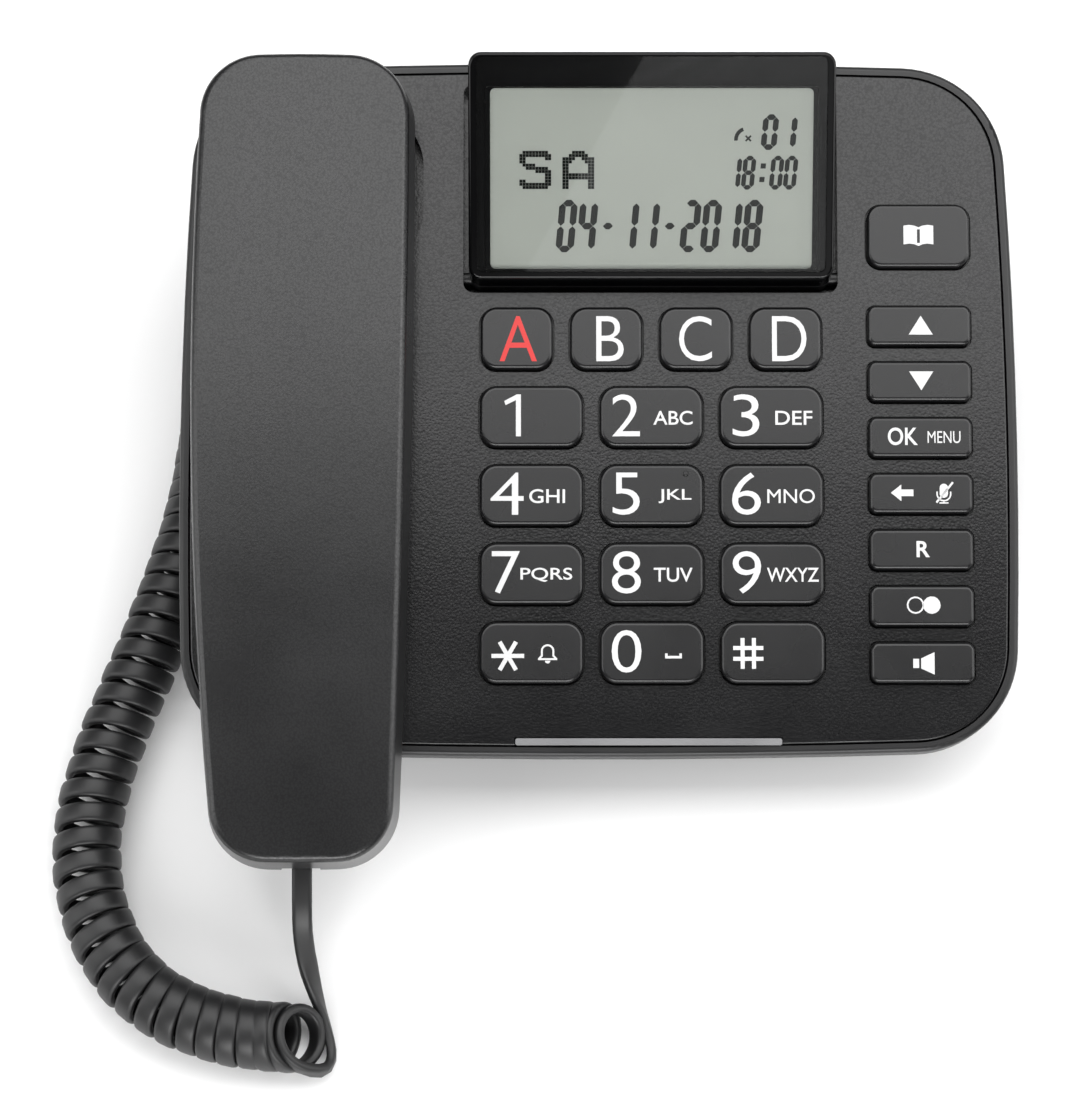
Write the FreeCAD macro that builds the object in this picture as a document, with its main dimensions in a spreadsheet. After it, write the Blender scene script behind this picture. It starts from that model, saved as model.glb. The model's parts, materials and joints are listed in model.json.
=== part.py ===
import FreeCAD, Part
import math
import os
import re
import Sketcher

# Corded desk telephone with large keys, a tilting display and a handset on a
# curly cord.  Millimetres, +Z up, table at Z = 0, +X right, +Y to the rear.
#
# The deck slopes up towards the rear.  Pieces that belong to the deck are
# drawn in the deck's own frame (x across, y up the slope, z out of the deck,
# with z = 0 on the deck's surface) and placed with the deck's Placement.

Vector = FreeCAD.Vector
Placement = FreeCAD.Placement
Rotation = FreeCAD.Rotation
ACROSS = Vector(1, 0, 0)
UP = Vector(0, 0, 1)
OVERCUT = 5.0

doc = FreeCAD.newDocument("DeskTelephone")

DIMENSIONS = {
    # Deck frame and base outline
    "deck_slope": 12.0, "deck_y": 14.55, "deck_z": 44.6,
    "base_half_width": 101.0, "base_half_depth": 84.7, "base_mid": -20.0,
    "base_side_bow": 1350.0, "base_end_bow": 2500.0,
    "front_corner": 25.0, "rear_corner": 25.5,
    "rim_drop": 0.4, "band_depth": 9.0, "rim_round": 1.2, "ledge_depth": 7.3,
    "rim_wall": 2.2, "band_wall": 3.8, "floor_wall": 2.4,
    "foot_height": 3.0, "foot_radius": 6.5,
    "foot_half_width": 75.0, "foot_front": -60.0, "foot_rear": 84.0,
    "foot_side_bow": 1350.0, "foot_end_bow": 2500.0, "foot_corner": 20.0,
    # Deck cover
    "deck_inset": 2.6, "deck_wall": 2.4, "skirt_depth": 7.0, "skirt_wall": 2.0,
    "deck_round": 0.5, "cup_wall": 2.0,
    "ear_well_width": 45.6, "ear_well_length": 39.0, "ear_well_depth": 7.5, "ear_well_corner": 14.0,
    "screen_well_width": 90.6, "screen_well_length": 51.6, "screen_well_depth": 6.8,
    "screen_well_corner": 2.5,
    # Keys
    "key_gap": 0.45, "key_proud": 2.6, "key_travel": 1.5, "key_draft": 4.0, "key_top_round": 0.9,
    "flange_lip": 1.3, "flange_top": 2.7, "flange_thick": 1.2, "stem_bottom": 5.6, "stem_radius": 2.4,
    "digit_width": 24.8, "digit_depth": 14.7, "digit_corner": 4.2,
    "memory_width": 17.4, "memory_depth": 15.0, "memory_corner": 4.0,
    "side_width": 24.8, "side_depth": 9.7, "side_corner": 1.9,
    "book_width": 24.8, "book_depth": 15.4, "book_corner": 3.6,
    "column_pitch": 28.85, "row_pitch": 19.0, "memory_pitch": 21.6, "side_pitch": 13.6,
    "digit_middle": 12.6, "digit_first_row": -2.9, "memory_row": 16.2, "side_column": 77.3,
    "side_first_row": 19.3, "book_row": 41.3,
    "pip_radius": 0.7, "pip_height": 0.4,
    # Circuit board and key mat
    "mat_top": 8.2, "mat_thick": 0.8, "dome_height": 0.8, "dome_radius": 3.0, "board_thick": 1.6,
    # Display
    "screen_middle": 12.5, "screen_tilt": 17.8, "bezel_width": 87.6,
    "bezel_front_low": 29.3, "bezel_rear_low": 77.3, "bezel_split": 0.3,
    "bezel_front_top": 29.6, "bezel_front_height": 8.5, "bezel_rear_top": 81.6, "bezel_rear_height": 25.0,
    "bezel_wall": 2.0, "bezel_face": 3.2, "bezel_corner": 3.0, "bezel_round": 0.8,
    "cover_bottom": 5.5, "cover_wall": 1.8,
    "window_width": 83.6, "window_height": 51.4, "window_thick": 1.4, "window_corner": 1.6,
    "window_sink": 1.5, "opening_width": 79.8, "opening_height": 44.2,
    "picture_width": 77.2, "picture_height": 43.3, "picture_shift": -3.5, "mask_thick": 0.5,
    "panel_width": 79.0, "panel_height": 44.0, "panel_thick": 1.8, "lcd_board_drop": 7.6,
    "hinge_along": 31.6, "hinge_drop": 2.5, "hinge_radius": 1.5, "hinge_clearance": 0.06,
    "hinge_length": 5.2,
    # Light bar in the front edge
    "light_width": 63.7, "light_depth": 1.65, "light_height": 5.5, "light_proud": 0.25,
    "light_middle": 11.8,
    # Handset
    "handset_left": -97.6, "handset_right": -44.2, "handset_front": -112.2, "handset_rear": 82.1,
    "handset_left_bow": 1100.0, "handset_right_bow": 3800.0, "handset_front_bow": 300.0,
    "handset_rear_bow": 420.0, "handset_front_corner": 14.5, "handset_rear_corner": 15.5,
    "handset_split": 11.0, "handset_crest": 28.0, "handset_draft": 5.0, "handset_round": 1.8,
    "crown_across": 190.0, "crown_along": 1500.0, "crown_middle": -14.0,
    "crown_reach": 45.0, "handset_wall": 2.2, "handset_low": 0.6,
    "handset_arch": 3.8, "arch_front": -62.0, "arch_rear": 28.0, "handset_floor": 6.0,
    "low_draft": 9.0,
    "ear_boss_width": 38.6, "ear_boss_length": 33.5, "ear_boss_drop": 4.8, "ear_boss_corner": 11.0,
    "mouth_boss_width": 34.0, "mouth_boss_length": 19.5, "mouth_boss_drop": 3.5,
    "mouth_boss_corner": 7.0,
    "receiver_radius": 14.0, "receiver_height": 7.0, "mouthpiece_radius": 4.8, "mouthpiece_height": 4.0,
    # Cord
    "cord_width": 4.6, "coil_radius": 8.5, "plug_width": 7.6, "plug_height": 6.5, "plug_length": 11.0,
    # Hook switch
    "plunger_radius": 3.2, "collar_radius": 5.0, "hook_spring_radius": 4.2, "hook_wire": 0.5,
    "hook_spring_turns": 5.0,
    # Loudspeaker
    "speaker_radius": 25.0, "speaker_magnet": 12.0, "speaker_frame": 2.0, "speaker_cone": 9.0,
    "speaker_back": 7.0,
    # Screws
    "screw_shank": 1.4, "screw_head": 2.7, "screw_head_height": 1.8,
}

sheet = doc.addObject("Spreadsheet::Sheet", "Sizes")
for row, (alias, number) in enumerate(DIMENSIONS.items(), start=1):
    sheet.set("A%d" % row, alias)
    sheet.set("B%d" % row, str(number))
    sheet.setAlias("B%d" % row, alias)
doc.recompute()


def size(alias):
    """Return one driving dimension from the sheet."""
    return float(getattr(sheet, alias))


def bind(owner, path, text):
    """Tie a property to the sheet; words in the text are aliases."""
    owner.setExpression(path, re.sub(r"[a-z_]{3,}", lambda word: "Sizes." + word.group(0), text))


DECK = Placement(Vector(0, size("deck_y"), size("deck_z")), Rotation(ACROSS, size("deck_slope")))
SCREEN = DECK * Placement(
    Vector(size("screen_middle"),
           (size("bezel_front_top") + size("bezel_rear_top")) / 2,
           (size("bezel_front_height") + size("bezel_rear_height")) / 2),
    Rotation(ACROSS, size("screen_tilt")))


def at(x, y, z, frame=Placement()):
    """Return the Placement of a point given in a frame."""
    return frame * Placement(Vector(x, y, z), Rotation())


def texts(numbers):
    """Write lengths as sheet expressions."""
    return tuple(str(number) for number in numbers)


def deck_point(x, y, z):
    """Turn deck coordinates into the telephone's own."""
    return DECK.multVec(Vector(x, y, z))


# ---------------------------------------------------------------- primitives

def box(name, lengths, place):
    """Make a box centred in x and y on its place; lengths are sheet expressions."""
    item = doc.addObject("Part::Box", name)
    for side, text in zip(("Length", "Width", "Height"), lengths):
        bind(item, side, text)
    doc.recompute()
    middle = Vector(-item.Length.Value / 2, -item.Width.Value / 2, 0)
    item.Placement = place * Placement(middle, Rotation())
    return item


def rounded_block(name, lengths, corner, place):
    """Make a box with its four upright edges rounded."""
    base = box(name + "_blank", lengths, place)
    item = doc.addObject("Part::Fillet", name)
    item.Base = base
    doc.recompute()
    upright = place.Rotation.multVec(UP)
    edges = []
    for number, edge in enumerate(base.Shape.Edges, start=1):
        run = (edge.Vertexes[1].Point - edge.Vertexes[0].Point).normalize()
        if abs(run.dot(upright)) > 0.999:
            edges.append((number, corner, corner))
    item.Edges = edges
    return item


def cylinder(name, radius, height, place):
    """Make a cylinder that stands on its place; sizes are sheet expressions."""
    item = doc.addObject("Part::Cylinder", name)
    bind(item, "Radius", radius)
    bind(item, "Height", height)
    item.Placement = place
    return item


def fuse(name, pieces):
    """Join pieces into one."""
    item = doc.addObject("Part::MultiFuse", name)
    item.Shapes = pieces
    return item


def cut(name, base, tools):
    """Take tools away from a piece, and check that something went."""
    tool = tools[0] if len(tools) == 1 else fuse(name + "_tools", tools)
    item = doc.addObject("Part::Cut", name)
    item.Base = base
    item.Tool = tool
    doc.recompute()
    if base.Shape.Volume - item.Shape.Volume < 0.01:
        raise RuntimeError(name + " cut nothing")
    return item


def group(name, pieces):
    """Keep separate solids together in one node."""
    item = doc.addObject("Part::Compound", name)
    item.Links = pieces
    return item


# ------------------------------------------------------- sketches and bodies

def new_body(name, place):
    """Make a PartDesign body with its Placement."""
    body = doc.addObject("PartDesign::Body", name)
    body.Placement = place
    return body


def body_sketch(body, name, role="XY_Plane", offset=0.0):
    """Attach a sketch to one of the body's own origin planes."""
    plane = [item for item in body.Origin.OriginFeatures if item.Role == role][0]
    sketch = body.newObject("Sketcher::SketchObject", name)
    sketch.AttachmentSupport = (plane, [""])
    sketch.MapMode = "FlatFace"
    sketch.AttachmentOffset = Placement(Vector(0, 0, offset), Rotation())
    return sketch


def draw_rectangle(sketch, width, depth):
    """Draw a rectangle centred on the sketch's origin."""
    corners = [Vector(-1, -1, 0), Vector(1, -1, 0), Vector(1, 1, 0), Vector(-1, 1, 0)]
    for number in range(4):
        sketch.addGeometry(Part.LineSegment(corners[number], corners[(number + 1) % 4]), False)
    for number in range(4):
        sketch.addConstraint(Sketcher.Constraint("Coincident", number, 2, (number + 1) % 4, 1))
        level = "Horizontal" if number % 2 == 0 else "Vertical"
        sketch.addConstraint(Sketcher.Constraint(level, number))
    sketch.addConstraint(Sketcher.Constraint("Symmetric", 0, 1, 1, 2, -1, 1))
    across = sketch.addConstraint(Sketcher.Constraint("DistanceX", 0, 1, 0, 2, 2.0))
    along = sketch.addConstraint(Sketcher.Constraint("DistanceY", 1, 1, 1, 2, 2.0))
    bind(sketch, "Constraints[%d]" % across, width)
    bind(sketch, "Constraints[%d]" % along, depth)


def draw_circle(sketch, radius, number):
    """Draw a circle about the sketch's origin."""
    ring = sketch.addGeometry(Part.Circle(Vector(0, 0, 0), UP, number), False)
    sketch.addConstraint(Sketcher.Constraint("Coincident", ring, 3, -1, 1))
    bound = sketch.addConstraint(Sketcher.Constraint("Radius", ring, number))
    bind(sketch, "Constraints[%d]" % bound, radius)


def draw_polygon(sketch, points):
    """Draw a closed outline through points, each pinned where it lies."""
    count = len(points)
    for number in range(count):
        start = Vector(points[number][0], points[number][1], 0)
        end = Vector(points[(number + 1) % count][0], points[(number + 1) % count][1], 0)
        sketch.addGeometry(Part.LineSegment(start, end), False)
    for number in range(count):
        sketch.addConstraint(Sketcher.Constraint("Coincident", number, 2, (number + 1) % count, 1))
        sketch.addConstraint(Sketcher.Constraint("DistanceX", -1, 1, number, 1, points[number][0]))
        sketch.addConstraint(Sketcher.Constraint("DistanceY", -1, 1, number, 1, points[number][1]))


def circle_meeting(first, first_radius, second, second_radius, near):
    """Return where two circles cross, on the side nearest a point."""
    span = second - first
    distance = span.Length
    along = (distance ** 2 + first_radius ** 2 - second_radius ** 2) / (2 * distance)
    away = math.sqrt(first_radius ** 2 - along ** 2)
    forward = span / distance
    side = Vector(-forward.y, forward.x, 0)
    choices = [first + forward * along + side * away, first + forward * along - side * away]
    return min(choices, key=lambda point: (point - near).Length)


def draw_barrel(sketch, shape, inset):
    """Draw a bowed rectangle: four long arcs joined by four tangent corner arcs.

    shape names the sheet expressions for each side's extreme point and bow
    radius, and for the corners.  An inset moves the whole outline inwards:
    the arcs keep their centres and lose that much radius.
    """
    centres = []
    for side in ("right", "rear", "left", "front"):
        x, y, radius = shape[side][1]
        centres.append(Vector(x, y, 0))
    bows = [shape[side][1][2] for side in ("right", "rear", "left", "front")]
    corners = [shape[name][1] for name in ("rear_right", "rear_left", "front_left", "front_right")]
    reach = Vector(shape["reach"][0], shape["reach"][1], 0)
    middle = Vector(shape["middle"][0], shape["middle"][1], 0)
    signs = [(1, 1), (-1, 1), (-1, -1), (1, -1)]
    corner_centres = []
    for number in range(4):
        after = (number + 1) % 4
        near = middle + Vector(reach.x * signs[number][0], reach.y * signs[number][1], 0)
        corner_centres.append(circle_meeting(
            centres[number], bows[number] - corners[number],
            centres[after], bows[after] - corners[number], near))

    def bearing(centre, point):
        return math.atan2(point.y - centre.y, point.x - centre.x)

    for number in range(4):
        before = corner_centres[(number - 1) % 4]
        after = corner_centres[number]
        start = bearing(centres[number], before)
        end = bearing(centres[number], after)
        if end < start:
            end += 2 * math.pi
        long_arc = Part.Circle(centres[number], UP, bows[number] - inset)
        sketch.addGeometry(Part.ArcOfCircle(long_arc, start, end), False)
        next_end = bearing(centres[(number + 1) % 4], after)
        while next_end < end:
            next_end += 2 * math.pi
        corner_arc = Part.Circle(after, UP, corners[number] - inset)
        sketch.addGeometry(Part.ArcOfCircle(corner_arc, end, next_end), False)
    for number in range(8):
        sketch.addConstraint(Sketcher.Constraint("Tangent", number, 2, (number + 1) % 8, 1))
    names = ["right", "rear_right", "rear", "rear_left", "left", "front_left", "front", "front_right"]
    for number, name in enumerate(names):
        radius = sketch.Geometry[number].Radius
        bound = sketch.addConstraint(Sketcher.Constraint("Radius", number, radius))
        bind(sketch, "Constraints[%d]" % bound, "%s - %s" % (shape[name][0], inset))
    for number in range(4):
        place = centres[number]
        sketch.addConstraint(Sketcher.Constraint("DistanceX", -1, 1, 2 * number, 3, place.x))
        sketch.addConstraint(Sketcher.Constraint("DistanceY", -1, 1, 2 * number, 3, place.y))


def barrel_shape(left, right, front, rear, middle_y, bows, corners):
    """Collect a bowed rectangle's numbers from the sheet for draw_barrel.

    bows and corners are alias names; left, right, front and rear are the
    outline's extreme positions.
    """
    left_bow, right_bow, front_bow, rear_bow = bows
    front_corner, rear_corner = corners
    middle_x = (left + right) / 2
    left_y, right_y = middle_y
    return {
        "right": (right_bow, (right - size(right_bow), right_y, size(right_bow))),
        "left": (left_bow, (left + size(left_bow), left_y, size(left_bow))),
        "rear": (rear_bow, (middle_x, rear - size(rear_bow), size(rear_bow))),
        "front": (front_bow, (middle_x, front + size(front_bow), size(front_bow))),
        "rear_right": (rear_corner, size(rear_corner)),
        "rear_left": (rear_corner, size(rear_corner)),
        "front_left": (front_corner, size(front_corner)),
        "front_right": (front_corner, size(front_corner)),
        "middle": (middle_x, (front + rear) / 2),
        "reach": ((right - left) / 2, (rear - front) / 2),
    }


def pad(body, name, sketch, length, draft=None, backwards=False, midplane=False):
    """Grow a sketch into a solid."""
    feature = body.newObject("PartDesign::Pad", name)
    feature.Profile = sketch
    bind(feature, "Length", length)
    feature.Reversed = backwards
    feature.Midplane = midplane
    if draft:
        bind(feature, "TaperAngle", draft)
    sketch.Visibility = False
    doc.recompute()
    return feature


def pocket(body, name, sketch, length, backwards=False, midplane=False):
    """Cut a sketch into the body, and check that something went."""
    before = body.Shape.Volume
    feature = body.newObject("PartDesign::Pocket", name)
    feature.Profile = sketch
    bind(feature, "Length", length)
    feature.Reversed = backwards
    feature.Midplane = midplane
    doc.recompute()
    if before - body.Shape.Volume < 0.01:
        raise RuntimeError(name + " cut nothing")
    return feature


def round_edges(body, name, feature, radius, chosen):
    """Round the edges of a feature that pass a test."""
    edges = ["Edge%d" % number for number, edge in enumerate(feature.Shape.Edges, start=1) if chosen(edge)]
    item = body.newObject("PartDesign::Fillet", name)
    item.Base = (feature, edges)
    bind(item, "Radius", radius)
    doc.recompute()
    return item


def upright_edge(edge):
    """Say whether a straight edge runs mainly along z."""
    ends = [vertex.Point for vertex in edge.Vertexes]
    if len(ends) < 2:
        return False
    run = ends[1] - ends[0]
    return abs(run.z) > 0.9 * run.Length


def edge_at_height(height):
    """Return a test for edges that lie in the plane z = height."""
    def test(edge):
        bounds = edge.BoundBox
        return abs(bounds.ZMin - height) < 0.001 and abs(bounds.ZMax - height) < 0.001
    return test


BASE = barrel_shape(
    -size("base_half_width"), size("base_half_width"), -size("base_half_depth"), size("base_half_depth"),
    (size("base_mid"), size("base_mid")),
    ("base_side_bow", "base_side_bow", "base_end_bow", "base_end_bow"), ("front_corner", "rear_corner"))
FOOT = barrel_shape(
    -size("foot_half_width"), size("foot_half_width"), size("foot_front"), size("foot_rear"), (0.0, 0.0),
    ("foot_side_bow", "foot_side_bow", "foot_end_bow", "foot_end_bow"), ("foot_corner", "foot_corner"))
HANDSET = barrel_shape(
    size("handset_left"), size("handset_right"), size("handset_front"), size("handset_rear"), (8.0, 55.0),
    ("handset_left_bow", "handset_right_bow", "handset_front_bow", "handset_rear_bow"),
    ("handset_front_corner", "handset_rear_corner"))

nodes = {}


def finish(label, item):
    """Give a sub-part its own label, which names its file."""
    item.Label = label
    nodes[label] = item
    return item


# -------------------------------------------------------------------- screws

def screw(name, length, place):
    """Make a pan-head screw with its shank along +z and a cross recess below."""
    shank = cylinder(name + "_shank", "screw_shank", str(length), place)
    head = cylinder(name + "_head", "screw_head", "screw_head_height",
                    place * at(0, 0, -size("screw_head_height")))
    blank = fuse(name + "_blank", [shank, head])
    recess_place = place * at(0, 0, -size("screw_head_height") - 0.1)
    slots = [box(name + "_slot_a", ("2.6", "0.7", "1.0"), recess_place),
             box(name + "_slot_b", ("0.7", "2.6", "1.0"), recess_place)]
    return cut(name, blank, slots)


# ----------------------------------------------------------- base lower shell

def outline_at(name, shape, inset, place):
    """Make a free sketch of a bowed rectangle at a placement."""
    sketch = doc.addObject("Sketcher::SketchObject", name)
    draw_barrel(sketch, shape, inset)
    sketch.Placement = place
    return sketch


def skirt_loft(name, top_inset, foot_inset, foot_level):
    """Join the sloping outline under the rim to the level outline at the foot."""
    top = outline_at(name + "_top", BASE, top_inset, at(0, 0, -size("band_depth"), DECK))
    foot = outline_at(name + "_foot", FOOT, foot_inset, at(0, 0, foot_level))
    item = doc.addObject("Part::Loft", name)
    item.Sections = [top, foot]
    item.Solid = True
    item.Ruled = True
    return item


def outline_slab(name, inset, low, high):
    """Make a slab of the base outline between two deck heights."""
    body = new_body(name, DECK)
    sketch = body_sketch(body, name + "_outline", offset=low)
    draw_barrel(sketch, BASE, inset)
    pad(body, name + "_slab", sketch, str(high - low))
    return body


band = new_body("rim_band", DECK)
band_outline = body_sketch(band, "rim_band_outline", offset=-size("band_depth"))
draw_barrel(band_outline, BASE, 0.0)
band_pad = pad(band, "rim_band_slab", band_outline, "band_depth - rim_drop")
round_edges(band, "rim_band_round", band_pad, "rim_round", edge_at_height(-size("rim_drop")))
lower_skin = fuse("lower_skin", [band, skirt_loft("lower_skirt", 0.0, 0.0, size("foot_height"))])
lower_hollow = fuse("lower_hollow", [
    outline_slab("hollow_mouth", size("rim_wall"), -size("ledge_depth"), OVERCUT),
    outline_slab("hollow_neck", size("band_wall"), -size("band_depth"), -size("ledge_depth")),
    skirt_loft("hollow_skirt", size("band_wall"), size("floor_wall"),
               size("foot_height") + size("floor_wall"))])
lower_tray = cut("lower_tray", lower_skin, [lower_hollow])

FLOOR_TOP = size("foot_height") + size("floor_wall")
# Four posts carry the screws that hold the two halves of the base together.
POSTS = [(-62.0, -36.0), (59.4, -36.0), (-37.8, 80.0), (64.0, 74.0)]
POST_RADIUS = 4.2
BOSS_HEIGHT = 10.0
HEAD_ROOM = 3.2


def deck_height(y, drop):
    """Return the height of a plane parallel to the deck, at a given y."""
    slope = math.radians(size("deck_slope"))
    return size("deck_z") + (y - size("deck_y")) * math.tan(slope) - drop / math.cos(slope)


posts = []
post_holes = []
deck_bosses = []
deck_boss_holes = []
base_screws = []
for number, (x, y) in enumerate(POSTS, start=1):
    top = deck_height(y, size("deck_wall") / 2)
    seat = top - BOSS_HEIGHT
    posts.append(cylinder("post_%d" % number, str(POST_RADIUS), str(seat - FLOOR_TOP + 1.0),
                          at(x, y, FLOOR_TOP - 1.0)))
    post_holes.append(cylinder("post_hole_%d" % number, "screw_shank + 0.2", str(seat + 1.0), at(x, y, 0)))
    post_holes.append(cylinder("head_hole_%d" % number, "screw_head + 0.3", str(seat - HEAD_ROOM),
                               at(x, y, 0)))
    deck_bosses.append(cylinder("boss_%d" % number, "3.4", str(BOSS_HEIGHT), at(x, y, seat)))
    deck_boss_holes.append(cylinder("boss_hole_%d" % number, "screw_shank", str(BOSS_HEIGHT - 3.0),
                                    at(x, y, seat)))
    base_screws.append(screw("base_screw_%d" % number, HEAD_ROOM + 5.0, at(x, y, seat - HEAD_ROOM)))
finish("base_screws", group("base_screws", base_screws))

SPEAKER_X = 34.0
SPEAKER_Y = 30.0
slots = []
for number in range(7):
    reach = number - 3
    length = 2 * math.sqrt(19.0 ** 2 - (5.0 * reach) ** 2)
    slots.append(rounded_block("sound_slot_%d" % number, ("2.2", str(length), "6"), 1.05,
                               at(SPEAKER_X + 5.0 * reach, SPEAKER_Y, 1.0)))

HOOK_X = -67.0
HOOK_Y = deck_point(0, 50.0, -size("ear_boss_drop")).y
HOOK_TOP = deck_height(HOOK_Y, size("ear_boss_drop")) - 1.05
SWITCH_TOP = HOOK_TOP - 19.5
SWITCH_HEIGHT = 8.0
hook_stand = box("hook_stand", ("12", "10", str(SWITCH_TOP - SWITCH_HEIGHT - FLOOR_TOP + 1.0)),
                 at(HOOK_X, HOOK_Y, FLOOR_TOP - 1.0))

CORD_JACK_Y = 46.6
CORD_JACK_Z = 14.6
CORD_JACK_MOUTH = -86.0
LINE_JACK_X = 30.0
LINE_JACK_Z = 14.0
LINE_JACK_MOUTH = 90.5
JACK_SIZE = (18.0, 12.6, 12.6)
LINE_SIZE = (14.0, 18.0, 11.0)
CORD_JACK_PLACE = at(CORD_JACK_MOUTH + JACK_SIZE[0] / 2, CORD_JACK_Y, CORD_JACK_Z - JACK_SIZE[2] / 2)
LINE_JACK_PLACE = at(LINE_JACK_X, LINE_JACK_MOUTH - LINE_SIZE[1] / 2, LINE_JACK_Z - LINE_SIZE[2] / 2)
jack_hole = box("cord_jack_hole", texts(JACK_SIZE), CORD_JACK_PLACE)
line_hole = box("line_jack_hole", texts(LINE_SIZE), LINE_JACK_PLACE)
lower_full = fuse("lower_full", [lower_tray, hook_stand] + posts)
finish("base_bottom_shell", cut("base_bottom_shell", lower_full, post_holes + slots + [jack_hole, line_hole]))

FEET = [(-60.0, -48.0), (60.0, -48.0), (-55.0, 71.0), (50.0, 71.0)]
feet = []
for number, (x, y) in enumerate(FEET, start=1):
    disc = cylinder("foot_disc_%d" % number, "foot_radius", "foot_height", at(x, y, 0))
    foot = doc.addObject("Part::Fillet", "foot_%d" % number)
    foot.Base = disc
    doc.recompute()
    rims = []
    for index, edge in enumerate(disc.Shape.Edges, start=1):
        if edge.BoundBox.ZMax < 0.001:
            rims.append((index, 0.8, 0.8))
    foot.Edges = rims
    feet.append(foot)
finish("rubber_feet", group("rubber_feet", feet))

# ----------------------------------------------------------------- deck cover

deck_cover = new_body("deck_cover", DECK)
deck_outline = body_sketch(deck_cover, "deck_outline", offset=-size("skirt_depth"))
draw_barrel(deck_outline, BASE, size("deck_inset"))
deck_pad = pad(deck_cover, "deck_slab", deck_outline, "skirt_depth")
round_edges(deck_cover, "deck_edge_round", deck_pad, "deck_round", edge_at_height(0.0))
deck_inner = body_sketch(deck_cover, "deck_inner", offset=-size("skirt_depth"))
draw_barrel(deck_inner, BASE, size("deck_inset") + size("skirt_wall"))
pocket(deck_cover, "deck_hollow", deck_inner, "skirt_depth - deck_wall", backwards=True)

EAR_WELL = (-65.2, 53.5)
SCREEN_WELL = (size("screen_middle") + 0.1, 53.5)
ear_cup = rounded_block(
    "ear_cup", ("ear_well_width + 2*cup_wall - 1", "ear_well_length + 2*cup_wall - 1",
                "ear_well_depth + cup_wall - 1"), size("ear_well_corner") + 1.5,
    at(EAR_WELL[0], EAR_WELL[1], -size("ear_well_depth") - size("cup_wall"), DECK))
ear_well = rounded_block(
    "ear_well", ("ear_well_width", "ear_well_length", "ear_well_depth + 5"), size("ear_well_corner"),
    at(EAR_WELL[0], EAR_WELL[1], -size("ear_well_depth"), DECK))
screen_cup = rounded_block(
    "screen_cup", ("screen_well_width + 2*cup_wall", "screen_well_length + cup_wall",
                   "screen_well_depth + cup_wall - 1"), size("screen_well_corner") + 1.0,
    at(SCREEN_WELL[0], SCREEN_WELL[1], -size("screen_well_depth") - size("cup_wall"), DECK))
screen_well = rounded_block(
    "screen_well", ("screen_well_width", "screen_well_length", "screen_well_depth + 5"),
    size("screen_well_corner"),
    at(SCREEN_WELL[0], SCREEN_WELL[1], -size("screen_well_depth"), DECK))

# Each key: its node, its size's prefix, and its place on the deck.
KEYS = []
for number, name in enumerate(("key_a", "key_b", "key_c", "key_d")):
    KEYS.append((name, "memory", size("digit_middle") + (number - 1.5) * size("memory_pitch"),
                 size("memory_row")))
DIGITS = (("key_1", "key_2", "key_3"), ("key_4", "key_5", "key_6"), ("key_7", "key_8", "key_9"),
          ("key_star", "key_0", "key_hash"))
for row, names in enumerate(DIGITS):
    for column, name in enumerate(names):
        KEYS.append((name, "digit", size("digit_middle") + (column - 1) * size("column_pitch"),
                     size("digit_first_row") - row * size("row_pitch")))
KEYS.append(("key_phonebook", "book", size("side_column"), size("book_row")))
SIDE_KEYS = ("key_up", "key_down", "key_ok", "key_back", "key_recall", "key_redial", "key_speaker")
for number, name in enumerate(SIDE_KEYS):
    KEYS.append((name, "side", size("side_column"), size("side_first_row") - number * size("side_pitch")))

key_openings = []
for name, kind, x, y in KEYS:
    key_openings.append(rounded_block(
        name + "_opening", (kind + "_width + 2*key_gap", kind + "_depth + 2*key_gap", "deck_wall + 10"),
        size(kind + "_corner") + size("key_gap"), at(x, y, -size("deck_wall") - OVERCUT, DECK)))

HINGE_SIDE = size("bezel_width") / 2 - size("cover_wall") - 0.2
hinge_holes = []
for number, side in enumerate((-1, 1)):
    turn = Placement(Vector(0, 0, 0), Rotation(Vector(0, 1, 0), 90.0 * side))
    start = at(size("screen_middle") + side * (HINGE_SIDE + 1.0), size("hinge_along"),
               -size("hinge_drop"), DECK)
    hinge_holes.append(cylinder("hinge_hole_%d" % number, "hinge_radius + hinge_clearance", "5",
                                start * turn))
# Short bosses under the deck carry the circuit board.
BOARD_SCREWS = [(-35.8, 6.0), (-35.8, -62.0), (59.4, 8.0), (59.4, -28.0)]
BOARD_BOSS = size("mat_top") + size("mat_thick") - size("deck_wall")
board_bosses = []
board_boss_holes = []
for number, (x, y) in enumerate(BOARD_SCREWS, start=1):
    low = -size("mat_top") - size("mat_thick")
    board_bosses.append(cylinder("board_boss_%d" % number, "3.0", str(BOARD_BOSS + 0.4), at(x, y, low, DECK)))
    board_boss_holes.append(cylinder("board_boss_hole_%d" % number, "screw_shank", str(BOARD_BOSS - 1.5),
                                     at(x, y, low, DECK)))
light_notch = box("light_notch", ("light_width + 0.4", "light_depth + 0.9", "20"),
                  at(size("light_middle"), -size("base_half_depth") + size("deck_inset") + 0.73, -12.0, DECK))
plunger_hole = cylinder("plunger_hole", "plunger_radius + 0.35", "20", at(HOOK_X, HOOK_Y, HOOK_TOP - 10.0))
upper_full = fuse("upper_full", [deck_cover, ear_cup, screen_cup] + deck_bosses + board_bosses)
finish("base_top_shell", cut(
    "base_top_shell", upper_full,
    [ear_well, screen_well, light_notch, plunger_hole] + key_openings + hinge_holes + deck_boss_holes
    + board_boss_holes))

# ----------------------------------------------------------------------- keys

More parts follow.
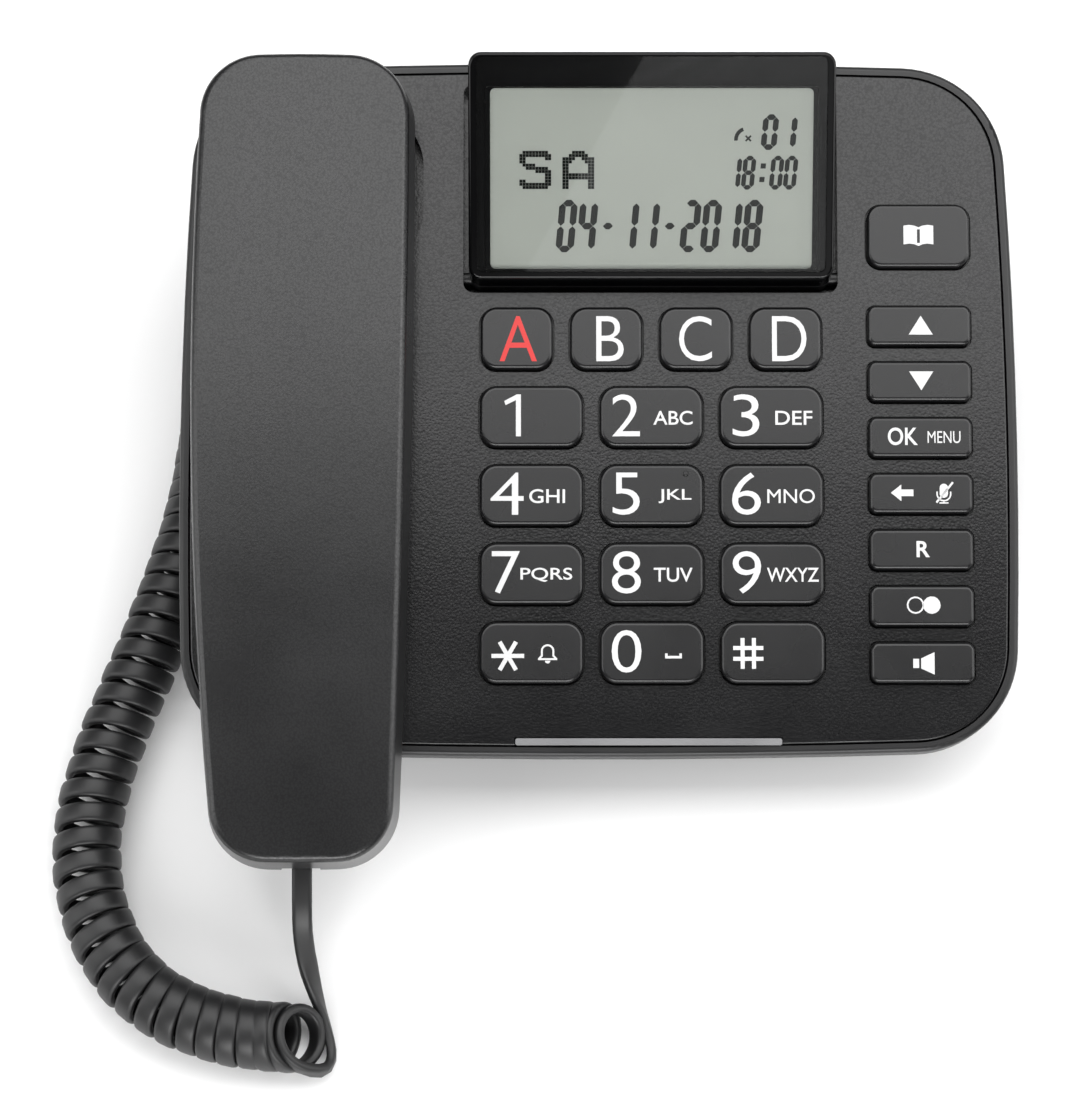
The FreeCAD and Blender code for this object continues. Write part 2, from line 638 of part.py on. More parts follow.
for name, kind, x, y in KEYS:
    body = new_body(name, at(x, y, 0, DECK))
    flange_sketch = body_sketch(body, name + "_flange", offset=-size("flange_top") - size("flange_thick"))
    draw_rectangle(flange_sketch, kind + "_width + 2*flange_lip", kind + "_depth + 2*flange_lip")
    pad(body, name + "_flange_pad", flange_sketch, "flange_thick")
    cap_sketch = body_sketch(body, name + "_cap", offset=-size("flange_top") - size("flange_thick") / 2)
    draw_rectangle(cap_sketch, kind + "_width", kind + "_depth")
    cap = pad(body, name + "_cap_pad", cap_sketch, "flange_top + flange_thick/2 + key_proud")
    lift = size("key_proud")

    def cap_corner(edge):
        return upright_edge(edge) and edge.BoundBox.ZMax > lift - 0.01

    corners = round_edges(body, name + "_corners", cap, kind + "_corner", cap_corner)
    round_edges(body, name + "_top_round", corners, "key_top_round", edge_at_height(lift))
    stem_sketch = body_sketch(body, name + "_stem", offset=-size("stem_bottom"))
    draw_circle(stem_sketch, "stem_radius", size("stem_radius"))
    pad(body, name + "_stem_pad", stem_sketch, "stem_bottom - flange_top")
    if name == "key_5":
        pip_sketch = body_sketch(body, "pip", offset=lift - 0.1)
        pip_sketch.AttachmentOffset = at(size("digit_width") * 0.33, size("digit_depth") * 0.34, lift - 0.1)
        draw_circle(pip_sketch, "pip_radius", size("pip_radius"))
        pip = pad(body, "pip_pad", pip_sketch, "pip_height + 0.1")
        round_edges(body, "pip_round", pip, "pip_height - 0.05", edge_at_height(lift + size("pip_height")))
    finish(name, body)

# ------------------------------------------------- key mat, main board, light

BOARD_PLAN = [(-38.5, -71.0), (81.0, -71.0), (92.0, -60.0), (92.0, 50.5), (62.0, 50.5), (62.0, 24.5),
              (-38.5, 24.5)]
MAT_PLAN = [(-33.0, -69.0), (91.0, -69.0), (91.0, 49.5), (64.0, 49.5), (64.0, 24.0), (-33.0, 24.0)]


def plate(name, plan, low, thick):
    """Make a flat plate under the deck from its plan."""
    body = new_body(name, DECK)
    sketch = body_sketch(body, name + "_plan", offset=-low)
    draw_polygon(sketch, plan)
    pad(body, name + "_pad", sketch, thick)
    return body


board_top = size("mat_top") + size("mat_thick")
domes = []
for name, kind, x, y in KEYS:
    domes.append(cylinder(name + "_dome", "dome_radius", "dome_height + 0.1",
                          at(x, y, -size("mat_top") - 0.1, DECK)))
post_clearance = cylinder("post_clearance", "5.2", "80", at(POSTS[1][0], POSTS[1][1], 0))
mat_holes = [post_clearance]
board_holes = [post_clearance]
for number, (x, y) in enumerate(BOARD_SCREWS, start=1):
    low = -board_top - OVERCUT
    mat_holes.append(cylinder("mat_hole_%d" % number, "3.3", "10", at(x, y, low, DECK)))
    board_holes.append(cylinder("board_hole_%d" % number, "screw_shank + 0.2", "10", at(x, y, low, DECK)))
mat_plate = fuse("mat_plate", [plate("mat_sheet", MAT_PLAN, board_top, "mat_thick")] + domes)
finish("keypad_mat", cut("keypad_mat", mat_plate, mat_holes))
board_plate = plate("board_sheet", BOARD_PLAN, board_top + size("board_thick"), "board_thick")
finish("main_board", cut("main_board", board_plate, board_holes))

board_screws = []
for number, (x, y) in enumerate(BOARD_SCREWS, start=1):
    board_screws.append(screw("board_screw_%d" % number, size("board_thick") + BOARD_BOSS - 1.5,
                              at(x, y, -board_top - size("board_thick"), DECK)))
finish("board_screws", group("board_screws", board_screws))

finish("light_bar", rounded_block(
    "light_bar", ("light_width", "light_depth", "light_height + light_proud"), 0.5,
    at(size("light_middle"), -size("base_half_depth") + size("deck_inset") + 0.95,
       -size("light_height"), DECK)))

# -------------------------------------------------------------------- display

def screen_wedge(name, width, profile):
    """Extrude the display's side profile, given in the deck frame, across the deck."""
    body = new_body(name, at(size("screen_middle"), 0, 0, DECK))
    sketch = body_sketch(body, name + "_profile", "YZ_Plane")
    draw_polygon(sketch, profile)
    pad(body, name + "_pad", sketch, width, midplane=True)
    return body


split = size("bezel_split")
front_low = size("bezel_front_low")
rear_low = size("bezel_rear_low")
slope = math.tan(math.radians(size("screen_tilt")))
bezel_profile = [(front_low, split), (rear_low, split), (size("bezel_rear_top"), size("bezel_rear_height")),
                 (size("bezel_front_top"), size("bezel_front_height"))]
bezel_block = screen_wedge("bezel_block", "bezel_width", bezel_profile)
bezel_corners = round_edges(bezel_block, "bezel_corners", bezel_block.Tip, "bezel_corner", upright_edge)


def bezel_rim(edge):
    """Pick the edges round the sloping face, which all start above the split."""
    bounds = edge.BoundBox
    middle_y = (bounds.YMin + bounds.YMax) / 2
    middle_z = (bounds.ZMin + bounds.ZMax) / 2
    face_z = size("bezel_front_height") + (middle_y - size("bezel_front_top")) * slope
    return abs(middle_z - face_z) < 0.3


round_edges(bezel_block, "bezel_round", bezel_corners, "bezel_round", bezel_rim)
wall = size("bezel_wall")
face_drop = size("bezel_face") / math.cos(math.radians(size("screen_tilt")))
inner_front = front_low + wall
inner_rear = rear_low - wall
inner_profile = [
    (inner_front, split - 1.0), (inner_rear, split - 1.0),
    (inner_rear + 2.8, size("bezel_front_height") + (inner_rear + 2.8 - front_low) * slope - face_drop),
    (inner_front, size("bezel_front_height") + (inner_front - front_low) * slope - face_drop)]
bezel_hollow = screen_wedge("bezel_hollow", "bezel_width - 2*bezel_wall", inner_profile)
window_low = -size("window_sink")
picture_y = size("picture_shift")
window_seat = rounded_block("window_seat", ("window_width + 0.2", "window_height + 0.2", "6.5"),
                            size("window_corner"), at(0, 0, window_low, SCREEN))
picture_opening = rounded_block("picture_opening", ("opening_width", "opening_height", "8"), 1.0,
                                at(0, picture_y, -size("bezel_face") - 1.0, SCREEN))
finish("display_bezel", cut("display_bezel", bezel_block, [bezel_hollow, window_seat, picture_opening]))

cover_length = rear_low - front_low
cover_middle = (rear_low + front_low) / 2
cover_block = rounded_block(
    "cover_block", ("bezel_width", str(cover_length), "cover_bottom + bezel_split"), size("bezel_corner"),
    at(size("screen_middle"), cover_middle, -size("cover_bottom"), DECK))
cover_hollow = rounded_block(
    "cover_hollow", ("bezel_width - 2*cover_wall", str(cover_length) + " - 2*cover_wall", "20"), 1.2,
    at(size("screen_middle"), cover_middle, -size("cover_bottom") + size("cover_wall"), DECK))
pins = []
pin_holes = []
for number, side in enumerate((-1, 1)):
    turn = Placement(Vector(0, 0, 0), Rotation(Vector(0, 1, 0), 90.0 * side))
    start = at(size("screen_middle") + side * HINGE_SIDE, size("hinge_along"), -size("hinge_drop"), DECK)
    pins.append(cylinder("hinge_pin_%d" % number, "hinge_radius", "hinge_length", start * turn))
    pin_holes.append(cylinder("pin_hole_%d" % number, "hinge_radius", "hinge_length", start * turn))
finish("display_back_cover", cut("display_back_cover", cover_block, [cover_hollow] + pin_holes))
finish("display_hinge_pins", group("display_hinge_pins", pins))
finish("display_window", rounded_block(
    "display_window", ("window_width", "window_height", "window_thick"), size("window_corner"),
    at(0, 0, window_low, SCREEN)))
mask_low = window_low - size("mask_thick")
mask_plate = rounded_block("mask_plate", ("opening_width - 0.3", "opening_height - 0.3", "mask_thick"), 0.9,
                           at(0, picture_y, mask_low, SCREEN))
mask_hole = rounded_block("mask_hole", ("picture_width", "picture_height", "5"), 1.3,
                          at(0, picture_y, mask_low - 2.0, SCREEN))
finish("display_mask", cut("display_mask", mask_plate, [mask_hole]))
finish("lcd_panel", rounded_block(
    "lcd_panel", ("panel_width", "panel_height", "panel_thick"), 0.3,
    at(0, picture_y, mask_low - size("panel_thick"), SCREEN)))
finish("lcd_board", rounded_block(
    "lcd_board", ("panel_width", "panel_height - 7", "board_thick"), 1.0,
    at(0, picture_y, -size("lcd_board_drop"), SCREEN)))

# ---------------------------------------------------------------- hook switch

COLLAR_Z = HOOK_TOP - 10.8
STEM_LOW = SWITCH_TOP + 1.2
plunger_rod = cylinder("plunger_rod", "plunger_radius", str(HOOK_TOP - COLLAR_Z),
                       at(HOOK_X, HOOK_Y, COLLAR_Z))
plunger_collar = cylinder("plunger_collar", "collar_radius", "1.5", at(HOOK_X, HOOK_Y, COLLAR_Z))
plunger_tip = cylinder("plunger_tip", "2.0", str(COLLAR_Z - STEM_LOW), at(HOOK_X, HOOK_Y, STEM_LOW))
finish("hook_plunger", fuse("hook_plunger", [plunger_rod, plunger_collar, plunger_tip]))

spring_low = SWITCH_TOP + size("hook_wire") + 0.1
spring_high = COLLAR_Z - size("hook_wire") - 0.1
turns = size("hook_spring_turns")
helix = Part.makeHelix((spring_high - spring_low) / turns, spring_high - spring_low,
                       size("hook_spring_radius"))
section = Part.Wire([Part.makeCircle(size("hook_wire"), Vector(size("hook_spring_radius"), 0, 0),
                                     Vector(0, 1, 0))])
hook_spring = doc.addObject("Part::Feature", "hook_spring")
hook_spring.Shape = Part.Wire(helix.Edges).makePipeShell([section], True, True)
hook_spring.Placement = at(HOOK_X, HOOK_Y, spring_low)
finish("hook_spring", hook_spring)
finish("hook_switch", box("hook_switch", ("12", "10", str(SWITCH_HEIGHT)),
                          at(HOOK_X, HOOK_Y, SWITCH_TOP - SWITCH_HEIGHT)))

# ---------------------------------------------------- loudspeaker, microphone

speaker_place = at(SPEAKER_X, SPEAKER_Y, FLOOR_TOP)
speaker_frame = cylinder("speaker_frame", "speaker_radius", "speaker_frame", speaker_place)
speaker_cone = doc.addObject("Part::Cone", "speaker_cone")
bind(speaker_cone, "Radius1", "speaker_radius - 2")
bind(speaker_cone, "Radius2", "speaker_magnet")
bind(speaker_cone, "Height", "speaker_cone")
speaker_cone.Placement = speaker_place * at(0, 0, size("speaker_frame"))
speaker_back = cylinder("speaker_magnet_can", "speaker_magnet", "speaker_back",
                        speaker_place * at(0, 0, size("speaker_frame") + size("speaker_cone")))
speaker_dish = doc.addObject("Part::Cone", "speaker_dish")
bind(speaker_dish, "Radius1", "speaker_radius - 4")
bind(speaker_dish, "Radius2", "speaker_magnet - 3")
bind(speaker_dish, "Height", "speaker_cone")
speaker_dish.Placement = speaker_place
finish("loudspeaker", cut("loudspeaker", fuse("speaker_full", [speaker_frame, speaker_cone, speaker_back]),
                          [speaker_dish]))
clamp_place = speaker_place * at(0, 0, size("speaker_frame"))
clamp_disc = cylinder("clamp_disc", "speaker_radius + 3", "1.6", clamp_place)
clamp_hole = cylinder("clamp_hole", "speaker_radius - 1.8", "5", clamp_place * at(0, 0, -1))
finish("loudspeaker_clamp", cut("loudspeaker_clamp", clamp_disc, [clamp_hole]))
finish("handsfree_microphone", cylinder("handsfree_microphone", "3.0", "4.0", at(40.0, -76.2, -6.6, DECK)))

# ---------------------------------------------------------------------- jacks

cord_jack_blank = box("cord_jack_blank", texts(JACK_SIZE), CORD_JACK_PLACE)
PLUG_IN = 9.0
base_plug_middle = CORD_JACK_MOUTH + PLUG_IN - size("plug_length") / 2
base_plug_socket = box("base_plug_socket", ("plug_length + 10", "plug_width", "plug_height"),
                       at(base_plug_middle - 5.0, CORD_JACK_Y, CORD_JACK_Z - size("plug_height") / 2))
finish("handset_cord_jack", cut("handset_cord_jack", cord_jack_blank, [base_plug_socket]))
line_blank = box("line_jack_blank", texts(LINE_SIZE), LINE_JACK_PLACE)
line_socket = box("line_socket", ("9.8", "24", "6.8"), at(LINE_JACK_X, LINE_JACK_MOUTH, LINE_JACK_Z - 3.4))
line_key = box("line_key", ("5.4", "24", "3.0"), at(LINE_JACK_X, LINE_JACK_MOUTH, LINE_JACK_Z - 4.8))
finish("line_jack", cut("line_jack", line_blank, [line_socket, line_key]))

# -------------------------------------------------------------------- handset

def handset_slab(name, inset, low, high, draft, downwards=False):
    """Grow the handset's outline from the split line, narrowing as it goes."""
    body = new_body(name, DECK)
    start = high if downwards else low
    sketch = body_sketch(body, name + "_outline", offset=start)
    draw_barrel(sketch, HANDSET, inset)
    feature = body.newObject("PartDesign::Pad", name + "_slab")
    feature.Profile = sketch
    feature.Length = high - low
    feature.Reversed = downwards
    feature.TaperAngle = -draft
    doc.recompute()
    return body


def crown(body, name, crest):
    """Cut the top to a shallow double curve: an arc across, swung along the handset."""
    middle = (size("handset_left") + size("handset_right")) / 2
    reach = size("crown_reach")
    drop = size("crown_across") - math.sqrt(size("crown_across") ** 2 - reach ** 2)
    sketch = body_sketch(body, name + "_profile", "XZ_Plane", -size("crown_middle"))
    top = crest + 25.0
    left = Vector(middle - reach, crest - drop, 0)
    right = Vector(middle + reach, crest - drop, 0)
    arc = Part.Arc(left, Vector(middle, crest, 0), right)
    sketch.addGeometry(arc, False)
    sketch.addGeometry(Part.LineSegment(right, Vector(right.x, top, 0)), False)
    sketch.addGeometry(Part.LineSegment(Vector(right.x, top, 0), Vector(left.x, top, 0)), False)
    sketch.addGeometry(Part.LineSegment(Vector(left.x, top, 0), left), False)
    axis_height = crest - size("crown_along")
    sketch.addGeometry(Part.LineSegment(Vector(middle - 10, axis_height, 0),
                                        Vector(middle + 10, axis_height, 0)), True)
    before = body.Shape.Volume
    groove = body.newObject("PartDesign::Groove", name)
    groove.Profile = sketch
    groove.ReferenceAxis = (sketch, ["Axis0"])
    groove.Angle = 12.0
    groove.Midplane = True
    doc.recompute()
    if before - body.Shape.Volume < 1.0:
        raise RuntimeError(name + " cut nothing")
    return groove


handset_split = size("handset_split")
outer_top = handset_slab("handset_top", 0.0, handset_split, 34.0, size("handset_draft"))
outer_crown = crown(outer_top, "handset_crown", size("handset_crest"))


def crown_rim(edge):
    """Pick the edge loop where the crowned top meets the drafted sides."""
    return edge.BoundBox.ZMin > handset_split + 5.0 and not upright_edge(edge)


round_edges(outer_top, "handset_top_round", outer_crown, "handset_round", crown_rim)
inner_top = handset_slab("handset_top_hollow", size("handset_wall"), handset_split - 1.0, 33.0,
                         size("handset_draft"))
crown(inner_top, "hollow_crown", size("handset_crest") - size("handset_wall"))
handset_cover = cut("handset_cover", outer_top, [inner_top])
HANDSET_MIDDLE = -70.4
HANDSET_SCREWS = (-70.0, 20.0)
cover_bosses = []
cover_boss_holes = []
lower_posts = []
lower_post_holes = []
handset_screws = []
for number, y in enumerate(HANDSET_SCREWS, start=1):
    x = HANDSET_MIDDLE
    cover_bosses.append(cylinder("cover_boss_%d" % number, "3.2", "14", at(x, y, handset_split + 0.8, DECK)))
    cover_boss_holes.append(cylinder("cover_boss_hole_%d" % number, "screw_shank", "8",
                                     at(x, y, handset_split, DECK)))
    lower_posts.append(cylinder("lower_post_%d" % number, "3.6", str(handset_split + 0.8 - 5.0),
                                at(x, y, 5.0, DECK)))
    lower_post_holes.append(cylinder("lower_post_hole_%d" % number, "screw_shank + 0.2", "14",
                                     at(x, y, 0, DECK)))
    lower_post_holes.append(cylinder("lower_head_hole_%d" % number, "screw_head + 0.3", "7",
                                     at(x, y, 0, DECK)))
    handset_screws.append(screw("handset_screw_%d" % number, 9.0, at(x, y, 7.0, DECK)))
SOCKET_HEIGHT = 7.0
notch_top = box("notch_top", ("9.2", "6", "2.4"),
                at(HANDSET_MIDDLE, size("handset_front"), handset_split, DECK))
cover_full = fuse("cover_full", [handset_cover] + cover_bosses)
finish("handset_outer_shell", cut("handset_outer_shell", cover_full, cover_boss_holes + [notch_top]))
finish("handset_screws", group("handset_screws", handset_screws))

lower_outer = handset_slab("handset_low", 0.0, size("handset_low"), handset_split, size("low_draft"), True)
arch_plan = body_sketch(lower_outer, "arch_plan", "YZ_Plane", HANDSET_MIDDLE)
draw_polygon(arch_plan, [(size("arch_front") - 6.0, 0.0), (size("arch_front"), size("handset_arch")),
                         (size("arch_rear"), size("handset_arch")), (size("arch_rear") + 6.0, 0.0)])
pocket(lower_outer, "handset_arch_cut", arch_plan, "120", midplane=True)
ear_boss = rounded_block(
    "ear_boss", ("ear_boss_width", "ear_boss_length", "ear_boss_drop + 3"), size("ear_boss_corner"),
    at(EAR_WELL[0] - 0.2, EAR_WELL[1] - 0.6, -size("ear_boss_drop"), DECK))
mouth_boss = rounded_block(
    "mouth_boss", ("mouth_boss_width", "mouth_boss_length", "mouth_boss_drop + 3"), size("mouth_boss_corner"),
    at(HANDSET_MIDDLE, -98.2, -size("mouth_boss_drop"), DECK))
lower_inner = handset_slab("handset_low_hollow", size("handset_wall"), size("handset_floor"),
                           handset_split + 1.0, size("low_draft"), True)
RECEIVER = (EAR_WELL[0] - 0.2, EAR_WELL[1] - 0.6)
receiver_room = cylinder("receiver_room", "receiver_radius", "20", at(RECEIVER[0], RECEIVER[1], -2.6, DECK))
mouth_room = cylinder("mouth_room", "mouthpiece_radius", "20", at(HANDSET_MIDDLE, -92.5, -1.4, DECK))
sound_holes = [cylinder("ear_hole_0", "1.0", "8", at(RECEIVER[0], RECEIVER[1], -8.0, DECK))]
for number in range(6):
    angle = math.radians(60 * number)
    sound_holes.append(cylinder(
        "ear_hole_%d" % (number + 1), "1.0", "8",
        at(RECEIVER[0] + 5 * math.cos(angle), RECEIVER[1] + 5 * math.sin(angle), -8.0, DECK)))
for number in range(3):
    sound_holes.append(cylinder("mouth_hole_%d" % number, "0.8", "8",
                                at(HANDSET_MIDDLE + 3 * (number - 1), -92.5, -8.0, DECK)))
SOCKET_SIZE = (13.0, 13.0, 8.0)
socket_middle_y = size("handset_front") + 0.9 + SOCKET_SIZE[1] / 2
socket_place = at(HANDSET_MIDDLE, socket_middle_y, SOCKET_HEIGHT - SOCKET_SIZE[2] / 2, DECK)
socket_room = box("socket_room", texts((SOCKET_SIZE[0], SOCKET_SIZE[1], SOCKET_SIZE[2] + 10)), socket_place)
notch_low = box("notch_low", ("9.2", "8", "20"), at(HANDSET_MIDDLE, size("handset_front"), 2.8, DECK))
lower_case = fuse("lower_case", [lower_outer, ear_boss, mouth_boss])
lower_shell = cut("lower_shell", lower_case, [lower_inner])
lower_shell_posts = fuse("lower_shell_posts", [lower_shell] + lower_posts)
finish("handset_inner_shell", cut(
    "handset_inner_shell", lower_shell_posts,
    [receiver_room, mouth_room, socket_room, notch_low] + sound_holes + lower_post_holes))
finish("handset_receiver", cylinder("handset_receiver", "receiver_radius", "receiver_height",
                                    at(RECEIVER[0], RECEIVER[1], -2.6, DECK)))
finish("handset_microphone", cylinder("handset_microphone", "mouthpiece_radius", "mouthpiece_height",
                                      at(HANDSET_MIDDLE, -92.5, -1.4, DECK)))
finish("handset_weight", rounded_block("handset_weight", ("32", "56", "6"), 3.0,
                                       at(HANDSET_MIDDLE, -25.0, size("handset_floor"), DECK)))
socket_blank = box("socket_blank", texts(SOCKET_SIZE), socket_place)
handset_plug_front = size("handset_front") + 1.0
handset_plug_middle = handset_plug_front + size("plug_length") / 2
plug_socket = box("plug_socket", ("plug_width", "plug_length + 10", "plug_height"),
                  at(HANDSET_MIDDLE, handset_plug_middle - 5.0,
                     SOCKET_HEIGHT - size("plug_height") / 2, DECK))
finish("handset_socket", cut("handset_socket", socket_blank, [plug_socket]))

# ----------------------------------------------------------------------- cord

# The coil lies on the table from below the left edge of the base, round the
# handset's lower end; each route is its hand-placed points.
COIL_ROUTE = [(-94.4, 41.0, 8.5), (-95.2, 29.0, 8.5), (-96.6, 10.6, 8.5), (-100.4, -7.4, 8.5),
              (-106.4, -26.4, 8.5), (-113.4, -45.4, 8.5), (-120.2, -63.4, 8.5), (-124.0, -81.4, 8.5),
              (-122.6, -99.4, 8.5), (-115.4, -115.0, 8.5), (-103.4, -125.8, 8.5), (-89.0, -130.8, 8.5),
              (-79.0, -132.2, 8.5), (-69.6, -132.8, 8.5)]
TAIL_ROUTE = [(-70.4, -104.8, 25.7), (-70.4, -109.6, 21.4), (-70.0, -113.2, 16.0),
              (-69.2, -116.8, 10.8), (-67.9, -121.0, 6.6), (-66.2, -126.0, 4.0), (-64.7, -131.6, 3.0),
              (-64.3, -136.4, 2.7)]
CORNER_SHARE = 0.45


def tube(name, route, radius):
    """Sweep a round section along straight runs joined by tangent arcs."""
    points = [Vector(*point) for point in route]
    edges = []
    start = points[0]
    radii = []
    for before, corner, after in zip(points, points[1:], points[2:]):
        back = (before - corner).normalize()
        ahead = (after - corner).normalize()
        turn = math.pi - back.getAngle(ahead)
        reach = CORNER_SHARE * min((before - corner).Length, (after - corner).Length)
        bend = reach / math.tan(turn / 2)
        radii.append(bend)
        entry = corner + back * reach
        leave = corner + ahead * reach
        inward = (back + ahead).normalize()
        crest = corner + inward * (bend / math.cos(turn / 2) - bend)
        edges.append(Part.LineSegment(start, entry).toShape())
        edges.append(Part.Arc(entry, crest, leave).toShape())
        start = leave
    edges.append(Part.LineSegment(start, points[-1]).toShape())
    path = Part.Wire(edges)
    circle = Part.Wire([Part.makeCircle(radius, points[0], points[1] - points[0])])
    shape = path.makePipeShell([circle], True, True)
    expected = math.pi * radius ** 2 * path.Length
    print("%s: length %.1f, least radius %.1f, volume %.3f of section times length"
          % (name, path.Length, min(radii), shape.Volume / expected))
    item = doc.addObject("Part::Feature", name)
    item.Shape = shape
    return finish(name, item)


plug_end = deck_point(HANDSET_MIDDLE, handset_plug_front - 0.3, SOCKET_HEIGHT)
tail_start = (plug_end.x, plug_end.y, plug_end.z)
tube("cord_coil", COIL_ROUTE, size("coil_radius"))
tube("cord_handset_tail", [tail_start] + TAIL_ROUTE, size("cord_width") / 2)
base_plug_rear = base_plug_middle - size("plug_length") / 2
tail_length = base_plug_rear - COIL_ROUTE[0][0]
finish("cord_base_tail", cylinder(
    "cord_base_tail", "cord_width/2", str(tail_length),
    at(COIL_ROUTE[0][0], CORD_JACK_Y, CORD_JACK_Z)
    * Placement(Vector(0, 0, 0), Rotation(Vector(0, 1, 0), 90))))
finish("cord_base_plug", box("cord_base_plug", ("plug_length", "plug_width", "plug_height"), at(
    base_plug_middle, CORD_JACK_Y, CORD_JACK_Z - size("plug_height") / 2)))
finish("cord_handset_plug", box("cord_handset_plug", ("plug_width", "plug_length", "plug_height"), at(
    HANDSET_MIDDLE, handset_plug_middle, SOCKET_HEIGHT - size("plug_height") / 2, DECK)))

# --------------------------------------------------------------- check, write

doc.recompute()
for item in doc.Objects:
    if "Invalid" in item.State or "Error" in item.State:
        raise RuntimeError("%s did not build: %s" % (item.Name, item.State))
for label, item in nodes.items():
    if item.Shape.isNull() or not item.Shape.isValid():
        raise RuntimeError(label + " has no valid shape")
os.makedirs("parts", exist_ok=True)
for label, item in nodes.items():
    item.Shape.exportStep(os.path.join("parts", label + ".step"))
whole = Part.makeCompound([item.Shape for label, item in nodes.items() if not label.startswith("cord_")])
bounds = whole.BoundBox
print("%d nodes" % len(nodes))
print("without the cord: x %.2f to %.2f, y %.2f to %.2f, z %.2f to %.2f" % (
    bounds.XMin, bounds.XMax, bounds.YMin, bounds.YMax, bounds.ZMin, bounds.ZMax))
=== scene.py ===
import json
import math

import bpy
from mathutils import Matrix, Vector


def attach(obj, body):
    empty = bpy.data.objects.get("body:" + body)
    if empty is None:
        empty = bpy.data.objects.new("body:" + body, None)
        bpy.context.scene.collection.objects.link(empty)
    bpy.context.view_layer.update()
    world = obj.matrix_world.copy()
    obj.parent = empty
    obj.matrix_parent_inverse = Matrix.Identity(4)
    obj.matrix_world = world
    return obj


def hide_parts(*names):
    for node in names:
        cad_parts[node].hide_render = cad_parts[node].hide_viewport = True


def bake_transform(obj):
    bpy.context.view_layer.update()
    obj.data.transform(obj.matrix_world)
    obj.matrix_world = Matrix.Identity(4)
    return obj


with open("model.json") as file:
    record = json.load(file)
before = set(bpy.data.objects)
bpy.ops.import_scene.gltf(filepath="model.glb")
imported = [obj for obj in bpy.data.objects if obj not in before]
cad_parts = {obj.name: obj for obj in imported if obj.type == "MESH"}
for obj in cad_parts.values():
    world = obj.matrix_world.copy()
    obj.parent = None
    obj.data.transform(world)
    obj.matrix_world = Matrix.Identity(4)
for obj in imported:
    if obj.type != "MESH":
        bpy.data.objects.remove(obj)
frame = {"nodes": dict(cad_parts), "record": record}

# %% [markdown]
# A desk telephone with large keys, dressed for its picture.  The solid parts
# come from the CAD frame, already in place and in metres.  This lesson adds
# what the frame leaves plain: the curly cord, the printing on the keys, what
# the display shows, and a finish for every surface.

MM = 0.001
scene = bpy.context.scene
nodes = frame["nodes"]
record = frame["record"]
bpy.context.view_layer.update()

# %% [markdown]
# Two slopes rule this telephone: the deck's, and the display's, which stands
# steeper.  Both are read from the frame, so the printing always lies flat on
# its own surface.  A box taken along a slope gives each part's middle and top.

# %% The two slopes
press = [joint for joint in record["behaviour"]["joints"] if joint["name"] == "key_5_press"][0]
DECK_SLOPE = math.asin(press["axis"][1])
window_faces = nodes["display_window"].data.polygons
glass_normal = max(window_faces, key=lambda face: face.area * (face.normal.z > 0)).normal
SCREEN_SLOPE = math.atan2(-glass_normal.y, glass_normal.z)


def sloped_box(node, slope):
    """Return a node's lowest and highest corner along axes tilted by a slope."""
    level = Matrix.Rotation(-slope, 3, "X")
    corners = [level @ vertex.co for vertex in nodes[node].data.vertices]
    low = Vector([min(corner[axis] for corner in corners) for axis in range(3)])
    high = Vector([max(corner[axis] for corner in corners) for axis in range(3)])
    return low, high


print("deck %.1f degrees, display %.1f degrees" % (math.degrees(DECK_SLOPE), math.degrees(SCREEN_SLOPE)))

# %% [markdown]
# The camera looks down on the telephone from in front, a little off square to
# the deck.  It stands a metre away with a long lens, so that straight edges
# stay nearly parallel.  The long side of the frame is its height.

# %% Camera
CAMERA_PLACE = (-0.0156, -0.3476, 0.9823)
CAMERA_TILT = 19.0
FIELD = 15.31
camera_data = bpy.data.cameras.new("camera")
camera_data.sensor_width = 36.0
camera_data.lens = camera_data.sensor_width / 2 / math.tan(math.radians(FIELD) / 2)
camera = bpy.data.objects.new("camera", camera_data)
camera.location = CAMERA_PLACE
camera.rotation_euler = (math.radians(CAMERA_TILT), 0, 0)
scene.collection.objects.link(camera)
scene.camera = camera
print("lens %.1f mm" % camera_data.lens)

# %% [markdown]
# The cord is a flat lead wound into a spring.  It leaves a plug under the left
# edge of the base, lies coiled along the table, and runs flat again up into
# the handset's lower end.  The coil's middle line is a smooth curve through a
# short list of given points.  The spring's turns are worked out round
# it, and then the lead itself is one long smooth curve.

# %% The cord's facts and routes
CORD_WIDTH = 4.8 * MM
CORD_THICK = 2.4 * MM
TURN_RADIUS = 7.2 * MM
TURNS = 40.25
STEPS_PER_TURN = 20
PITCH_CHANGE = 0.18
COIL_ROUTE = [
    (-0.0944, 0.0410, 0.0085), (-0.0952, 0.0290, 0.0085), (-0.0966, 0.0106, 0.0085),
    (-0.1004, -0.0074, 0.0085), (-0.1064, -0.0264, 0.0085), (-0.1134, -0.0454, 0.0085),
    (-0.1202, -0.0634, 0.0085), (-0.1240, -0.0814, 0.0085), (-0.1226, -0.0994, 0.0085),
    (-0.1154, -0.1150, 0.0085), (-0.1034, -0.1258, 0.0085), (-0.0890, -0.1308, 0.0085),
    (-0.0790, -0.1322, 0.0085), (-0.0696, -0.1328, 0.0085)]
BASE_TAIL = [(-0.0880, 0.0466, 0.0146), (-0.0900, 0.0466, 0.0146), (-0.0922, 0.0455, 0.0154)]
BASE_TAIL_SIDES = [(0, 0, 1), (0, 0, 1), (0, 0, 1)]
